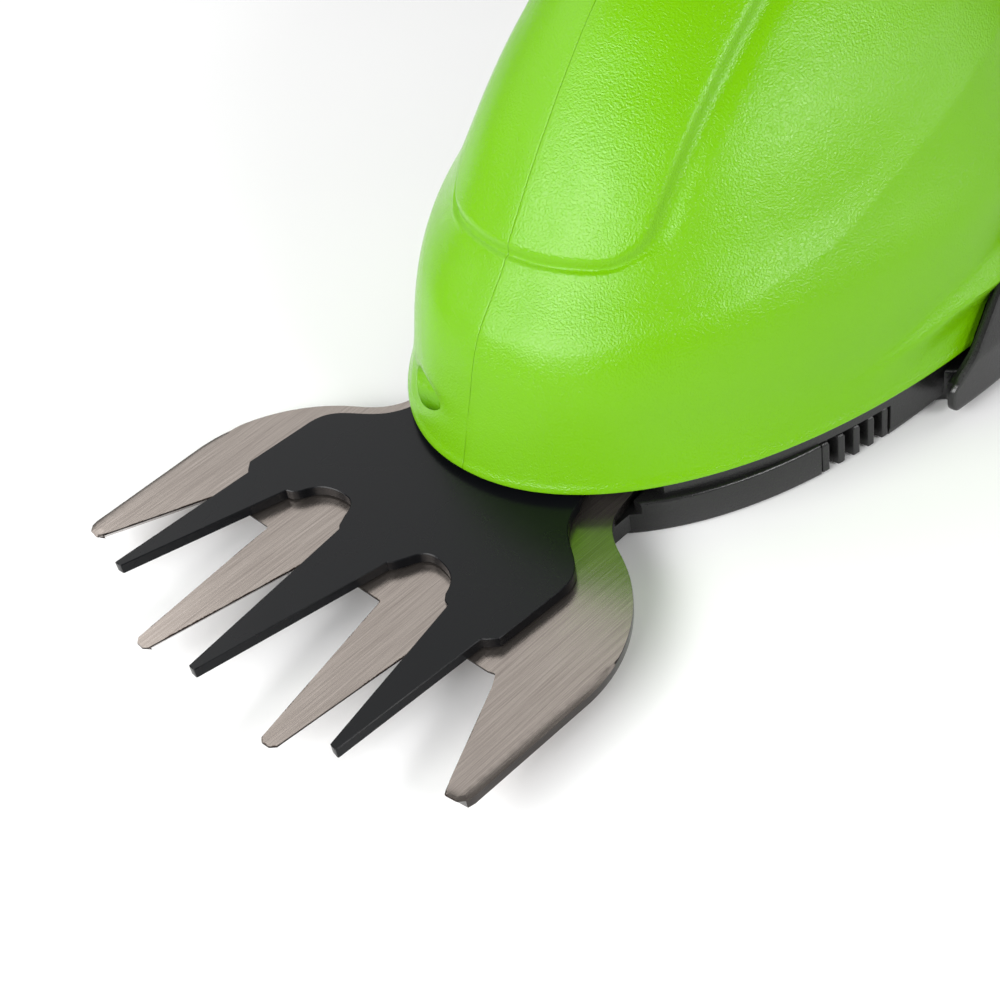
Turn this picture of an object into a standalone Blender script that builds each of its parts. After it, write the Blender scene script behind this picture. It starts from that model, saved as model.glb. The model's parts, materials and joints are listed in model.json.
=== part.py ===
"""Cordless garden shears: a palm-sized grass shear with a crank-driven reciprocating blade.

Every size below is in millimetres and MM turns it into Blender's metres.
Frame: +Z up, -Y towards the blade tips, X = 0 is the plane of symmetry.
The origin lies on the upper blade's pivot axis, on the surface that the shears stand on.
"""
import math

import bmesh
import bpy
import numpy as np
from mathutils import Matrix, Vector

MM = 0.001
GAP = 0.3              # clearance between neighbouring pieces

# Nose shell: plan outline, front profile and taper
NOSE_HALF_WIDTH = 53.3
NOSE_LENGTH = 95.0
NOSE_POWER = 2.1
NOSE_FRONT_Y = -16.6
BODY_TOP_Z = 98.0
BODY_TAIL_Y = 118.0
TAIL_START_Y = 60.0
TAIL_POWER = 2.6
RIM_Z = 11.0
SHELL_WALL = 2.2

# Rear cowl, which stands proud of the nose shell
COWL_OFFSET = 3.6
COWL_FRONT_Y = 52.0
COWL_BOTTOM_Z = 2.0
COWL_EDGE_RUN = 1.19   # how far the front edge moves back for each unit that it rises
COWL_BACK_Y = 104.0    # where the front edge turns upright
SEAM_OVERLAP = 4.0     # how far the nose shell runs on under the cowl

# Handle loop: half thickness and half width of its bars
GRIP_AXIS_Z = 85.0
GRIP_HALF_HEIGHT = 16.0
GRIP_HALF_WIDTH = 17.0
BAR_HALF_HEIGHT = 12.0
BAR_BOTTOM_Z = 3.0
HANDLE_ROOT_Y = 96.0
HANDLE_REAR_Y = 252.0
UPPER_BEND = 30.0
LOWER_BEND = 24.0
HANDLE_POWER = 2.6
GRIP_COVER_START_Y = 158.0
GRIP_COVER_END_Y = HANDLE_REAR_Y - 47.0
GRIP_COVER_T = 1.2

# Rubber foot under the handle
FOOT_Y = HANDLE_REAR_Y - 56.0
FOOT_LENGTH = 20.0
FOOT_HALF_WIDTH = 8.0

# Base pan
PAN_HALF_WIDTH = 49.5
PAN_LENGTH = 85.0
PAN_POWER = 2.3
PAN_FRONT_Y = -13.5
PAN_HEIGHT = 7.0
PAN_FLOOR = 2.0
PAN_WALL = 4.0
PAN_JOG_Y = 56.0       # where the pan widens to fill the rear cowl
PAN_JOG_RUN = 3.0
TAIL_STEPS = 11        # places along the tail, shared by the cowl and the pan inside it
TAIL_LEAD = 8.0        # how far the tail's bore starts ahead of the cowl's edge
SEAT_Z = 4.7

# Blades
BLADE_T = 2.0
LOWER_HALF_WIDTH = 50.5
LOWER_GULLET_Y = -45.5
LOWER_INNER_TIP_Y = -77.5
LOWER_OUTER_TIP_Y = -66.4
UPPER_HALF_WIDTH = 34.5
UPPER_CENTRE_TIP_Y = -75.9
UPPER_OUTER_TIP_Y = -70.7
UPPER_GULLET_Y = -33.4
REST_ANGLE = -2.63     # degrees, the upper blade as photographed

# Drive
MODULE = 1.0
CRANK_TEETH = 30
IDLER_SMALL_TEETH = 10
IDLER_BIG_TEETH = 32
PINION_TEETH = 9
CRANK_Y = 21.0
CRANK_THROW = 2.85
CRANK_PIN_R = 3.0
YOKE_T = 3.0
YOKE_PRONG = 4.0
DECK_T = 2.0
GEAR_T = 5.0
WHEEL_T = 4.0
PLATE_T = 2.0
MOTOR_R = 14.25
MOTOR_LENGTH = 38.0
MOTOR_SHAFT_R = 1.2
CRANK_SHAFT_R = 2.5
IDLER_AXLE_R = 2.0

# Pivot and fasteners
PIVOT_R = 3.0
PIVOT_HEAD_R = 6.5
PIVOT_HEAD_H = 1.8
WASHER_T = 0.6
NUT_R = 5.5
SCREW_R = 1.4
SCREW_HEAD_R = 2.8
SCREW_HEAD_H = 1.5

# Charging socket and lamp, in the handle's rear
SOCKET_Z = 36.0
SOCKET_R = 4.0
SOCKET_DEPTH = 11.0
LAMP_Z = 46.5
LAMP_R = 2.0

# Wires
WIRE_R = 0.8

# Battery
CELL_R = 9.2
CELL_LENGTH = 65.0
CELL_Y = 91.0
CRADLE_T = 2.0

# Controls
BUTTON_Y0 = 28.0
BUTTON_Y1 = 43.0
BUTTON_DEPTH = 8.0
BUTTON_TRAVEL = 2.5    # how far a release button goes in, which the window leaves room for
BUTTON_GROOVES = 4
GROOVE_W = 1.9
GROOVE_DEPTH = 2.0
TRIGGER_HALF_WIDTH = 5.0
TRIGGER_PIVOT_Y = 127.0
TRIGGER_PIVOT_Z = 77.0
TRIGGER_LENGTH = 26.0
TRIGGER_DROP = 19.0
TRIGGER_PIN_R = 1.5
LOCK_Y = 138.0
LOCK_LENGTH = 16.0
LOCK_TRAVEL = 4.0
LOCK_HALF_WIDTH = 5.0
LOCK_PAD_H = 3.0
LOCK_RIB_Y = 120.0
SWITCH_Y = 137.0
SWITCH_LENGTH = 13.0
SWITCH_HALF_WIDTH = 2.9
SWITCH_HEIGHT = 7.0

# Heights that follow from the stack of blades and gears
LOWER_BLADE_Z = SEAT_Z + GAP
UPPER_BLADE_Z = LOWER_BLADE_Z + BLADE_T + GAP
YOKE_Z = UPPER_BLADE_Z + BLADE_T + GAP
YOKE_TOP_Z = YOKE_Z + YOKE_T
DECK_Z = YOKE_TOP_Z + GAP + SCREW_HEAD_H + 0.6
GEAR_Z = DECK_Z + DECK_T + GAP
WHEEL_Z = GEAR_Z + GEAR_T + GAP
PLATE_Z = WHEEL_Z + WHEEL_T + 1.0
MOTOR_Z = PLATE_Z + PLATE_T + GAP

# Heights inside the grip
GRIP_TOP_Z = GRIP_AXIS_Z + GRIP_HALF_HEIGHT
SWITCH_Z = TRIGGER_PIVOT_Z + 5.0 + SWITCH_HEIGHT / 2
LOCK_SPRING_Z = GRIP_TOP_Z - SHELL_WALL - 4.3
BOARD_Z = 82.5
BOARD_Y = 160.0
BOARD_LENGTH = 24.0
BOARD_T = 1.6

# Gear centres, all on the plane of symmetry
IDLER_Y = CRANK_Y + MODULE * (CRANK_TEETH + IDLER_SMALL_TEETH) / 2
MOTOR_Y = IDLER_Y + MODULE * (IDLER_BIG_TEETH + PINION_TEETH) / 2

# The crank pin's place when the blade is at its rest angle
PIN_X = -CRANK_Y * math.sin(math.radians(REST_ANGLE))
PIN_Y = CRANK_Y + math.sqrt(CRANK_THROW ** 2 - PIN_X ** 2)
SLOT_HALF = 2 * CRANK_THROW + CRANK_PIN_R + GAP

# Bosses and posts
BOSS_R = 3.5
BOSSES = [(sx * 24.0, y) for y in ((BUTTON_Y0 + BUTTON_Y1) / 2, 68.0) for sx in (-1, 1)]
POSTS = [(sx * x, y) for x, y in ((17.5, 8.5), (24.0, 56.0)) for sx in (-1, 1)]

# Screws across the split housing: y, z, the head's outer face on the left and the tip on the right
NOSE_SCREWS = [(-9.5, 17.5, 6.0, 6.5)]
REAR_SCREWS = [(112.0, 40.0, 11.0, 9.0),
               (HANDLE_REAR_Y - 87.0, BAR_BOTTOM_Z + BAR_HALF_HEIGHT, 11.0, 9.0),
               (HANDLE_REAR_Y - GRIP_HALF_HEIGHT, 50.0, 11.0, 9.0)]
SCREW_BOSS_R = 4.2

# Colours (sRGB), roughness and metallic
FINISHES = {
    "green_shell": ((0.52, 0.84, 0.0), 0.35, 0.0),
    "black_shell": ((0.13, 0.13, 0.13), 0.5, 0.0),
    "soft_grip": ((0.09, 0.09, 0.09), 0.8, 0.0),
    "ground_steel": ((0.62, 0.59, 0.56), 0.35, 1.0),
    "coated_steel": ((0.1, 0.1, 0.11), 0.4, 0.3),
    "zinc_steel": ((0.7, 0.7, 0.72), 0.3, 1.0),
    "gear_nylon": ((0.85, 0.83, 0.76), 0.5, 0.0),
    "grey_plastic": ((0.3, 0.31, 0.32), 0.5, 0.0),
    "cell_wrap": ((0.1, 0.35, 0.6), 0.4, 0.0),
    "board_green": ((0.05, 0.3, 0.15), 0.5, 0.0),
    "lamp": ((0.2, 0.8, 0.3), 0.2, 0.0),
    "wire_red": ((0.7, 0.08, 0.06), 0.5, 0.0),
    "clutch_red": ((0.75, 0.12, 0.08), 0.4, 0.0),
}


# Scene, collections and materials

def clear_scene():
    for obj in list(bpy.data.objects):
        bpy.data.objects.remove(obj, do_unlink=True)


def collection(name):
    coll = bpy.data.collections.new(name)
    bpy.context.scene.collection.children.link(coll)
    return coll


clear_scene()
PARTS = collection("cordless_garden_shears")
CUTTERS = collection("cutters")
MATERIALS = {}


def linear(value):
    return value / 12.92 if value <= 0.04045 else ((value + 0.055) / 1.055) ** 2.4


def material(finish):
    if finish not in MATERIALS:
        colour, roughness, metallic = FINISHES[finish]
        mat = bpy.data.materials.new(finish)
        mat.use_nodes = True
        shader = mat.node_tree.nodes["Principled BSDF"]
        shader.inputs["Base Color"].default_value = [linear(c) for c in colour] + [1.0]
        shader.inputs["Roughness"].default_value = roughness
        shader.inputs["Metallic"].default_value = metallic
        MATERIALS[finish] = mat
    return MATERIALS[finish]


# Curves through a few points, and outlines

def curve_through(points):
    """A smooth function through (x, y) points that never overshoots them."""
    xs, ys = (np.array(v, float) for v in zip(*points))
    slopes = np.diff(ys) / np.diff(xs)
    tangents = np.concatenate([[slopes[0]], (slopes[:-1] + slopes[1:]) / 2, [slopes[-1]]])
    for i, slope in enumerate(slopes):
        limit = 3 * abs(slope)
        for j in (i, i + 1):
            same_way = tangents[j] * slope > 0
            tangents[j] = math.copysign(min(abs(tangents[j]), limit), slope) if same_way else 0.0

    def value(x):
        x = min(max(x, xs[0]), xs[-1])
        i = min(int(np.searchsorted(xs, x, side="right")) - 1, len(slopes) - 1)
        h = xs[i + 1] - xs[i]
        t = (x - xs[i]) / h
        return float((1 + 2 * t) * (1 - t) ** 2 * ys[i] + t * (1 - t) ** 2 * h * tangents[i]
                     + t * t * (3 - 2 * t) * ys[i + 1] + t * t * (t - 1) * h * tangents[i + 1])
    return value


def bezier(p0, p1, p2, p3, steps):
    """Points of a cubic curve, without its last one."""
    out = []
    for i in range(steps):
        t = i / steps
        w = ((1 - t) ** 3, 3 * t * (1 - t) ** 2, 3 * t * t * (1 - t), t ** 3)
        out.append(tuple(sum(k * p[a] for k, p in zip(w, (p0, p1, p2, p3))) for a in (0, 1)))
    return out


def circle(cx, cy, r, steps=16, phase=0.0):
    turn = [phase + 2 * math.pi * i / steps for i in range(steps)]
    return [(cx + r * math.cos(a), cy + r * math.sin(a)) for a in turn]


def mirrored(half):
    """A closed outline from its +X half, which starts and ends on or near X = 0."""
    back = [(-x, y) for x, y in reversed(half) if abs(x) > 1e-6]
    return list(half) + back


# Body surface: half width of the body at a height and a place along it

PROFILE = curve_through([(RIM_Z, 0.0), (22.0, 4.1), (34.0, 9.0), (44.3, 17.6), (57.5, 27.6),
                         (68.0, 36.6), (80.0, 48.6), (89.5, 62.6), (95.5, 76.6), (98.0, 96.6)])
TAPER = curve_through([(RIM_Z, 1.0), (22.0, 0.957), (34.0, 0.955), (47.0, 0.897), (57.0, 0.85),
                       (69.0, 0.78), (80.0, 0.68), (90.0, 0.5), (96.0, 0.28), (98.0, 0.06)])
PROFILE_TOP = 98.0


def body_height(z, offset):
    """The height on the plain body that matches z on a body grown by offset."""
    share = PROFILE_TOP / (BODY_TOP_Z + offset)
    return min(max(z * share, RIM_Z), PROFILE_TOP)


def front_y(z, offset=0.0):
    return NOSE_FRONT_Y - offset + PROFILE(body_height(z, offset))


def half_width(z, y, offset=0.0):
    """Half the body's width, on a surface that lies offset outside the nose shell."""
    length = NOSE_LENGTH + offset
    along = min(max(y - front_y(z, offset), 0.0), length) / length
    plan = (1 - (1 - along) ** NOSE_POWER) ** (1 / NOSE_POWER)
    tail = max(y - TAIL_START_Y, 0.0) / (BODY_TAIL_Y + offset - TAIL_START_Y)
    round_off = math.sqrt(max(1 - tail ** TAIL_POWER, 0.0))
    return (NOSE_HALF_WIDTH + offset) * plan * TAPER(body_height(z, offset)) * round_off


def dense_at_front(t):
    return t ** 1.8


def dense_at_tail(t):
    return 1 - (1 - t) ** 1.6


def cowl_edge_y(z):
    """The rear cowl's front edge, which leans back as it rises."""
    return min(COWL_FRONT_Y + COWL_EDGE_RUN * max(z - PAN_HEIGHT, 0.0), COWL_BACK_Y)


# Making objects

def finish_object(obj, finish):
    obj.data.materials.append(material(finish))
    return obj


def link(obj, coll=PARTS):
    coll.objects.link(obj)
    return obj


def cutter(obj):
    """Takes an object out of the parts: it only cuts or joins."""
    for coll in list(obj.users_collection):
        coll.objects.unlink(obj)
    CUTTERS.objects.link(obj)
    obj.hide_render = True
    obj.display_type = "WIRE"
    return obj


def from_bmesh(name, bm, finish, origin=(0, 0, 0)):
    """An object from a bmesh in world millimetres, with its origin where the piece turns."""
    shift = Matrix.Translation(-Vector(origin))
    bmesh.ops.transform(bm, matrix=Matrix.Scale(MM, 4) @ shift, verts=bm.verts)
    mesh = bpy.data.meshes.new(name)
    bm.to_mesh(mesh)
    bm.free()
    obj = bpy.data.objects.new(name, mesh)
    obj.location = Vector(origin) * MM
    return finish_object(link(obj), finish)


def curve_mesh(curve):
    """The mesh of a curve, in millimetres, with its loose caps welded on."""
    shape = bpy.data.objects.new(curve.name + "_curve", curve)
    CUTTERS.objects.link(shape)
    bpy.context.view_layer.update()
    mesh = bpy.data.meshes.new_from_object(shape.evaluated_get(bpy.context.evaluated_depsgraph_get()))
    bpy.data.objects.remove(shape, do_unlink=True)
    bm = bmesh.new()
    bm.from_mesh(mesh)
    bpy.data.meshes.remove(mesh)
    bmesh.ops.remove_doubles(bm, verts=bm.verts, dist=1e-6)
    bmesh.ops.scale(bm, vec=(1 / MM, 1 / MM, 1 / MM), verts=bm.verts)
    return bm


def plate(name, outlines, z0, z1, finish, origin=(0, 0, 0), frame=None):
    """A flat piece between two heights from closed outlines: the first is its edge, the rest are holes.

    frame turns the flat piece, which is drawn in X and Y, into another plane."""
    curve = bpy.data.curves.new(name, "CURVE")
    curve.dimensions = "2D"
    curve.fill_mode = "BOTH"
    curve.extrude = (z1 - z0) / 2 * MM
    for outline in outlines:
        spline = curve.splines.new("POLY")
        spline.points.add(len(outline) - 1)
        for point, (x, y) in zip(spline.points, outline):
            point.co = (x * MM, y * MM, 0.0, 1.0)
        spline.use_cyclic_u = True
    bm = curve_mesh(curve)
    bmesh.ops.translate(bm, vec=(0, 0, (z0 + z1) / 2), verts=bm.verts)
    if frame is not None:
        bmesh.ops.transform(bm, matrix=frame, verts=bm.verts)
    bmesh.ops.recalc_face_normals(bm, faces=bm.faces)
    return from_bmesh(name, bm, finish, origin)


# The frame for flat pieces that are drawn in Y and Z, with their thickness along X
SIDE_FRAME = Matrix(((0, 0, 1, 0), (1, 0, 0, 0), (0, 1, 0, 0), (0, 0, 0, 1)))


def box(name, low, high, finish, origin=(0, 0, 0)):
    bm = bmesh.new()
    bmesh.ops.create_cube(bm, size=1.0)
    size = [b - a for a, b in zip(low, high)]
    bmesh.ops.scale(bm, vec=size, verts=bm.verts)
    bmesh.ops.translate(bm, vec=[(a + b) / 2 for a, b in zip(low, high)], verts=bm.verts)
    return from_bmesh(name, bm, finish, origin)


def rod_bmesh(bm, start, end, r0, r1=None, steps=16):
    """Adds a closed cylinder or cone between two points."""
    start, end = Vector(start), Vector(end)
    turn = (end - start).to_track_quat("Z", "Y").to_matrix().to_4x4()
    place = Matrix.Translation((start + end) / 2) @ turn
    bmesh.ops.create_cone(bm, cap_ends=True, segments=steps, radius1=r0,
                          radius2=r0 if r1 is None else r1, depth=(end - start).length, matrix=place)


def rods(name, runs, finish, origin=(0, 0, 0), steps=16):
    """Separate cylinders in one object, each a (start, end, radius)."""
    bm = bmesh.new()
    for start, end, radius in runs:
        rod_bmesh(bm, start, end, radius, steps=steps)
    return from_bmesh(name, bm, finish, origin)


def turned(name, profile, finish, location, axis="Z", steps=20, ring=False):
    """A turned piece: (radius, height) points from its top centre down its outer side.

    A ring's profile is joined back to its own first point."""
    mesh = bpy.data.meshes.new(name)
    points = [(r * MM, 0.0, h * MM) for r, h in profile]
    edges = [(i, i + 1) for i in range(len(points) - 1)]
    if ring:
        edges.append((len(points) - 1, 0))
    mesh.from_pydata(points, edges, [])
    obj = link(bpy.data.objects.new(name, mesh))
    obj.location = Vector(location) * MM
    obj.rotation_euler = {"Z": (0, 0, 0), "X": (0, math.pi / 2, 0), "Y": (-math.pi / 2, 0, 0)}[axis]
    screw = obj.modifiers.new("turn", "SCREW")
    screw.steps = steps
    screw.render_steps = steps
    screw.use_merge_vertices = True
    screw.merge_threshold = 0.00001
    return finish_object(obj, finish)


def ring_profile(inner, outer, z0, z1):
    """The profile of a plain ring."""
    return [(inner, z1), (outer, z1), (outer, z0), (inner, z0)]


def loft(name, rings, finish):
    """A closed solid through rings of equal length, capped at both ends, in world millimetres."""
    bm = bmesh.new()
    rows = [[bm.verts.new(p) for p in ring] for ring in rings]
    count = len(rings[0])
    for low, high in zip(rows[:-1], rows[1:]):
        for i in range(count):
            j = (i + 1) % count
            bm.faces.new((low[i], low[j], high[j], high[i]))
    bm.faces.new(list(reversed(rows[0])))
    bm.faces.new(rows[-1])
    bmesh.ops.remove_doubles(bm, verts=bm.verts, dist=0.001)
    bmesh.ops.dissolve_degenerate(bm, edges=bm.edges, dist=0.001)
    bmesh.ops.triangulate(bm, faces=bm.faces)
    bmesh.ops.recalc_face_normals(bm, faces=bm.faces)
    return from_bmesh(name, bm, finish)


def boolean(obj, operation, other):
    mod = obj.modifiers.new(operation.lower(), "BOOLEAN")
    mod.operation = operation
    mod.solver = "EXACT"
    mod.object = cutter(other)
    return obj


def cut(obj, other):
    return boolean(obj, "DIFFERENCE", other)


def join(obj, other):
    return boolean(obj, "UNION", other)


def tube(name, route, radius, finish, resolution=0):
    """A wire or spring: a rounded tube along a list of points."""
    curve = bpy.data.curves.new(name, "CURVE")
    curve.dimensions = "3D"
    curve.bevel_depth = radius * MM
    curve.bevel_resolution = resolution
    curve.use_fill_caps = True
    spline = curve.splines.new("POLY")
    spline.points.add(len(route) - 1)
    for point, place in zip(spline.points, route):
        point.co = (*(v * MM for v in place), 1.0)
    bm = curve_mesh(curve)
    bmesh.ops.recalc_face_normals(bm, faces=bm.faces)
    return from_bmesh(name, bm, finish)


def smooth_route(points, per_span=5):
    """A soft curve through a wire's own points."""
    pts = [Vector(p) for p in points]
    ends = [2 * pts[0] - pts[1]] + pts + [2 * pts[-1] - pts[-2]]
    out = []
    for a, b, c, d in zip(ends, ends[1:], ends[2:], ends[3:]):
        for i in range(per_span):
            t = i / per_span
            out.append(0.5 * (2 * b + (c - a) * t + (2 * a - 5 * b + 4 * c - d) * t ** 2
                              + (3 * b - a - 3 * c + d) * t ** 3))
    return [tuple(p) for p in out] + [tuple(pts[-1])]


def coil(start, end, radius, turns, per_turn=7):
    """Points of a helix between two places."""
    start, end = Vector(start), Vector(end)
    turn = (end - start).to_track_quat("Z", "Y").to_matrix()
    count = int(turns * per_turn)
    out = []
    for i in range(count + 1):
        a = 2 * math.pi * i / per_turn
        out.append(tuple(start + (end - start) * i / count
                         + turn @ Vector((radius * math.cos(a), radius * math.sin(a), 0))))
    return out


# Blades

def lower_blade():
    """Four ground teeth on one plate: two broad outer ones and two slender inner ones."""
    w, gullet = LOWER_HALF_WIDTH, LOWER_GULLET_Y
    tip = LOWER_OUTER_TIP_Y
    inner_tip = LOWER_INNER_TIP_Y
    half = [(8.7, gullet), (15.4, inner_tip + 0.6), (16.2, inner_tip), (17.9, inner_tip + 0.1),
            (18.85, inner_tip + 1.0), (21.2, gullet - 6.0), (21.6, gullet)]
    half += [(34.4, gullet + 0.1), (35.7, gullet + 0.5), (37.1, gullet - 1.6)]
    half += [(w - 4.8, tip + 0.9), (w - 4.2, tip), (w - 1.9, tip + 0.3), (w - 0.8, tip + 1.4), (w - 0.5, tip + 2.6)]
    half += bezier((w, -39.0), (w - 0.2, -27.0), (42.5, -17.8), (34.4, -13.5), 7)
    half += bezier((34.4, -13.5), (30.5, -11.5), (26.8, -9.0), (26.2, -3.7), 5)
    half += [(26.2, -3.7), (24.0, 8.0), (20.0, 15.0)]
    outline = half + [(-x, y) for x, y in reversed(half)]
    holes = [circle(0, 0, PIVOT_R + GAP)]
    return plate("lower_blade", [outline] + holes, LOWER_BLADE_Z, LOWER_BLADE_Z + BLADE_T, "ground_steel")


def turned_outline(points, degrees):
    c, s = math.cos(math.radians(degrees)), math.sin(math.radians(degrees))
    return [(c * x - s * y, s * x + c * y) for x, y in points]


YOKE_SCREWS = [(-11.0, 2.0), (11.0, 2.0)]


def upper_blade():
    """Three teeth with rounded gullets, on a neck that turns about the pivot bolt."""
    w, gullet = UPPER_HALF_WIDTH, UPPER_GULLET_Y
    half = [(0.8, UPPER_CENTRE_TIP_Y), (6.6, -39.6), (7.4, -38.9), (8.2, -37.8)]
    half += bezier((8.2, -37.8), (9.4, gullet - 0.2), (11.0, gullet), (13.0, gullet), 4)
    half += bezier((13.0, gullet), (17.5, gullet - 0.4), (19.2, gullet - 1.8), (20.4, -38.8), 4)
    half += [(21.2, -39.1), (22.4, -39.5), (30.3, UPPER_OUTER_TIP_Y + 0.2), (32.0, UPPER_OUTER_TIP_Y)]
    half += [(w - 2.2, -41.0), (w - 1.4, -40.4), (w, -39.0)]
    half += bezier((w, -25.0), (w - 0.2, -16.8), (24.3, -18.5), (22.0, -8.9), 6)
    half += [(22.0, -8.9), (16.0, 0.0), (13.0, 7.0)]
    outline = half + [(-x, y) for x, y in reversed(half)]
    holes = [circle(0, 0, PIVOT_R + GAP)]
    holes += [circle(x, y, SCREW_R + GAP, 10) for x, y in YOKE_SCREWS]
    shapes = [turned_outline(s, REST_ANGLE) for s in [outline] + holes]
    return plate("upper_blade", shapes, UPPER_BLADE_Z, UPPER_BLADE_Z + BLADE_T, "coated_steel")


def drive_yoke():
    """The fork that the crank pin swings, screwed to the upper blade."""
    fork_end = CRANK_Y + CRANK_THROW + CRANK_PIN_R + 3.0
    fork_root = CRANK_Y - CRANK_THROW - CRANK_PIN_R - 1.5
    outer = SLOT_HALF + YOKE_PRONG
    half = [(0.0, -9.0), (14.0, -7.5), (15.0, 4.0), (outer, fork_root - 2.0), (outer, fork_end - 1.5),
            (outer - 1.5, fork_end), (SLOT_HALF, fork_end), (SLOT_HALF, fork_root + 1.5),
            (SLOT_HALF - 1.5, fork_root)]
    holes = [circle(0, 0, PIVOT_HEAD_R + 2 * GAP)]
    holes += [circle(x, y, SCREW_R + GAP, 10) for x, y in YOKE_SCREWS]
    shapes = [turned_outline(s, REST_ANGLE) for s in [mirrored(half)] + holes]
    return plate("drive_yoke", shapes, YOKE_Z, YOKE_TOP_Z, "zinc_steel")


def screw(name, head, tip, head_h=SCREW_HEAD_H, steps=10):
    """A pan-head screw from its head's outer face to its tip."""
    bm = bmesh.new()
    head, tip = Vector(head), Vector(tip)
    along = (tip - head).normalized()
    neck = head + along * head_h
    rod_bmesh(bm, head, neck, SCREW_HEAD_R, steps=steps)
    rod_bmesh(bm, neck, tip, SCREW_R, steps=steps)
    near = [v for v in bm.verts if abs((v.co - neck).dot(along)) < 1e-4]
    caps = [f for f in bm.faces if len(f.verts) == steps and all(v in near for v in f.verts)]
    edges = [e for f in caps for e in f.edges]
    bmesh.ops.delete(bm, geom=caps, context="FACES_ONLY")
    bmesh.ops.bridge_loops(bm, edges=edges)
    return from_bmesh(name, bm, "zinc_steel")


def yoke_screws():
    """Two screws that hold the yoke on the upper blade."""
    top = YOKE_TOP_Z + GAP + SCREW_HEAD_H
    for i, (x, y) in enumerate(turned_outline(YOKE_SCREWS, REST_ANGLE), 1):
        screw("yoke_screw_%d" % i, (x, y, top), (x, y, UPPER_BLADE_Z + GAP))


def pivot():
    """Bolt, washer and captive nut that hold the two blades together."""
    washer_z = YOKE_Z
    head_z = washer_z + WASHER_T + GAP
    bolt_low = PAN_FLOOR + 0.5
    turned("pivot_bolt", [(0, head_z + PIVOT_HEAD_H), (PIVOT_HEAD_R - 1, head_z + PIVOT_HEAD_H),
                          (PIVOT_HEAD_R, head_z + PIVOT_HEAD_H - 0.8), (PIVOT_HEAD_R, head_z),
                          (PIVOT_R, head_z), (PIVOT_R, bolt_low), (0, bolt_low)],
           "zinc_steel", (0, 0, 0))
    turned("pivot_washer", ring_profile(PIVOT_R + GAP, PIVOT_HEAD_R, washer_z, washer_z + WASHER_T),
           "zinc_steel", (0, 0, 0), ring=True)
    plate("pivot_nut", [circle(0, 0, NUT_R, 6), circle(0, 0, PIVOT_R + GAP, 12)],
          PAN_FLOOR + GAP, SEAT_Z, "zinc_steel")


# Base pan and its release buttons

def pan_half_width(y):
    """The pan's edge: its own rounded nose, then a jog out to fill the rear cowl."""
    along = min(max(y - PAN_FRONT_Y, 0.0), PAN_LENGTH) / PAN_LENGTH
    nose = PAN_HALF_WIDTH * (1 - (1 - along) ** PAN_POWER) ** (1 / PAN_POWER)
    rear = half_width(RIM_Z, y, COWL_OFFSET - SHELL_WALL - GAP)
    share = min(max((y - PAN_JOG_Y) / PAN_JOG_RUN, 0.0), 1.0)
    return nose * (1 - share) + rear * share


PAN_END_Y = BODY_TAIL_Y + COWL_OFFSET - SHELL_WALL - GAP


def pan_outline(inset=0.0, count=12):
    ys = [PAN_FRONT_Y + (PAN_JOG_Y - PAN_FRONT_Y) * dense_at_front(i / (count - 1)) for i in range(count - 1)]
    tail = BODY_TAIL_Y + COWL_OFFSET - SHELL_WALL
    cowl = COWL_FRONT_Y - TAIL_LEAD
    rear = [cowl + (tail - cowl) * dense_at_tail(i / (TAIL_STEPS - 1)) for i in range(TAIL_STEPS)]
    ys += [y for y in rear if y > PAN_JOG_Y + PAN_JOG_RUN + 1]
    if inset == 0.0:
        ys = sorted(ys + [PAN_JOG_Y, PAN_JOG_Y + PAN_JOG_RUN])
    else:
        ys = [y for y in ys if not -inset < y - PAN_JOG_Y < PAN_JOG_RUN + inset]
    half = [(pan_half_width(y), y) for y in ys]
    half[0], half[-1] = (0.0, PAN_FRONT_Y), (0.0, PAN_END_Y)
    if inset == 0.0:
        return mirrored(half)
    shape = [Vector(p) for p in half]
    out = []
    for i, point in enumerate(shape):
        before = shape[max(i - 1, 0)]
        after = shape[min(i + 1, len(shape) - 1)]
        along = (after - before).normalized()
        normal = Vector((along.y, -along.x))
        if i in (0, len(shape) - 1):
            normal = Vector((0.0, -1.0 if i == 0 else 1.0))
        moved = point - normal * inset
        out.append((max(moved.x, 0.0), moved.y))
    return mirrored(out)


def body_outline(z, offset, y0, y1, count=13):
    """The body's own plan outline between two places, closed straight across."""
    ys = [y0 + (y1 - y0) * (i / (count - 1)) ** 1.6 for i in range(count)]
    right = [(half_width(z, y, offset), y) for y in ys]
    return right + [(-x, y) for x, y in reversed(right)]


RING_FRONT_Y = 2.0
RING_REAR_Y = COWL_FRONT_Y + 10.0


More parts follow.
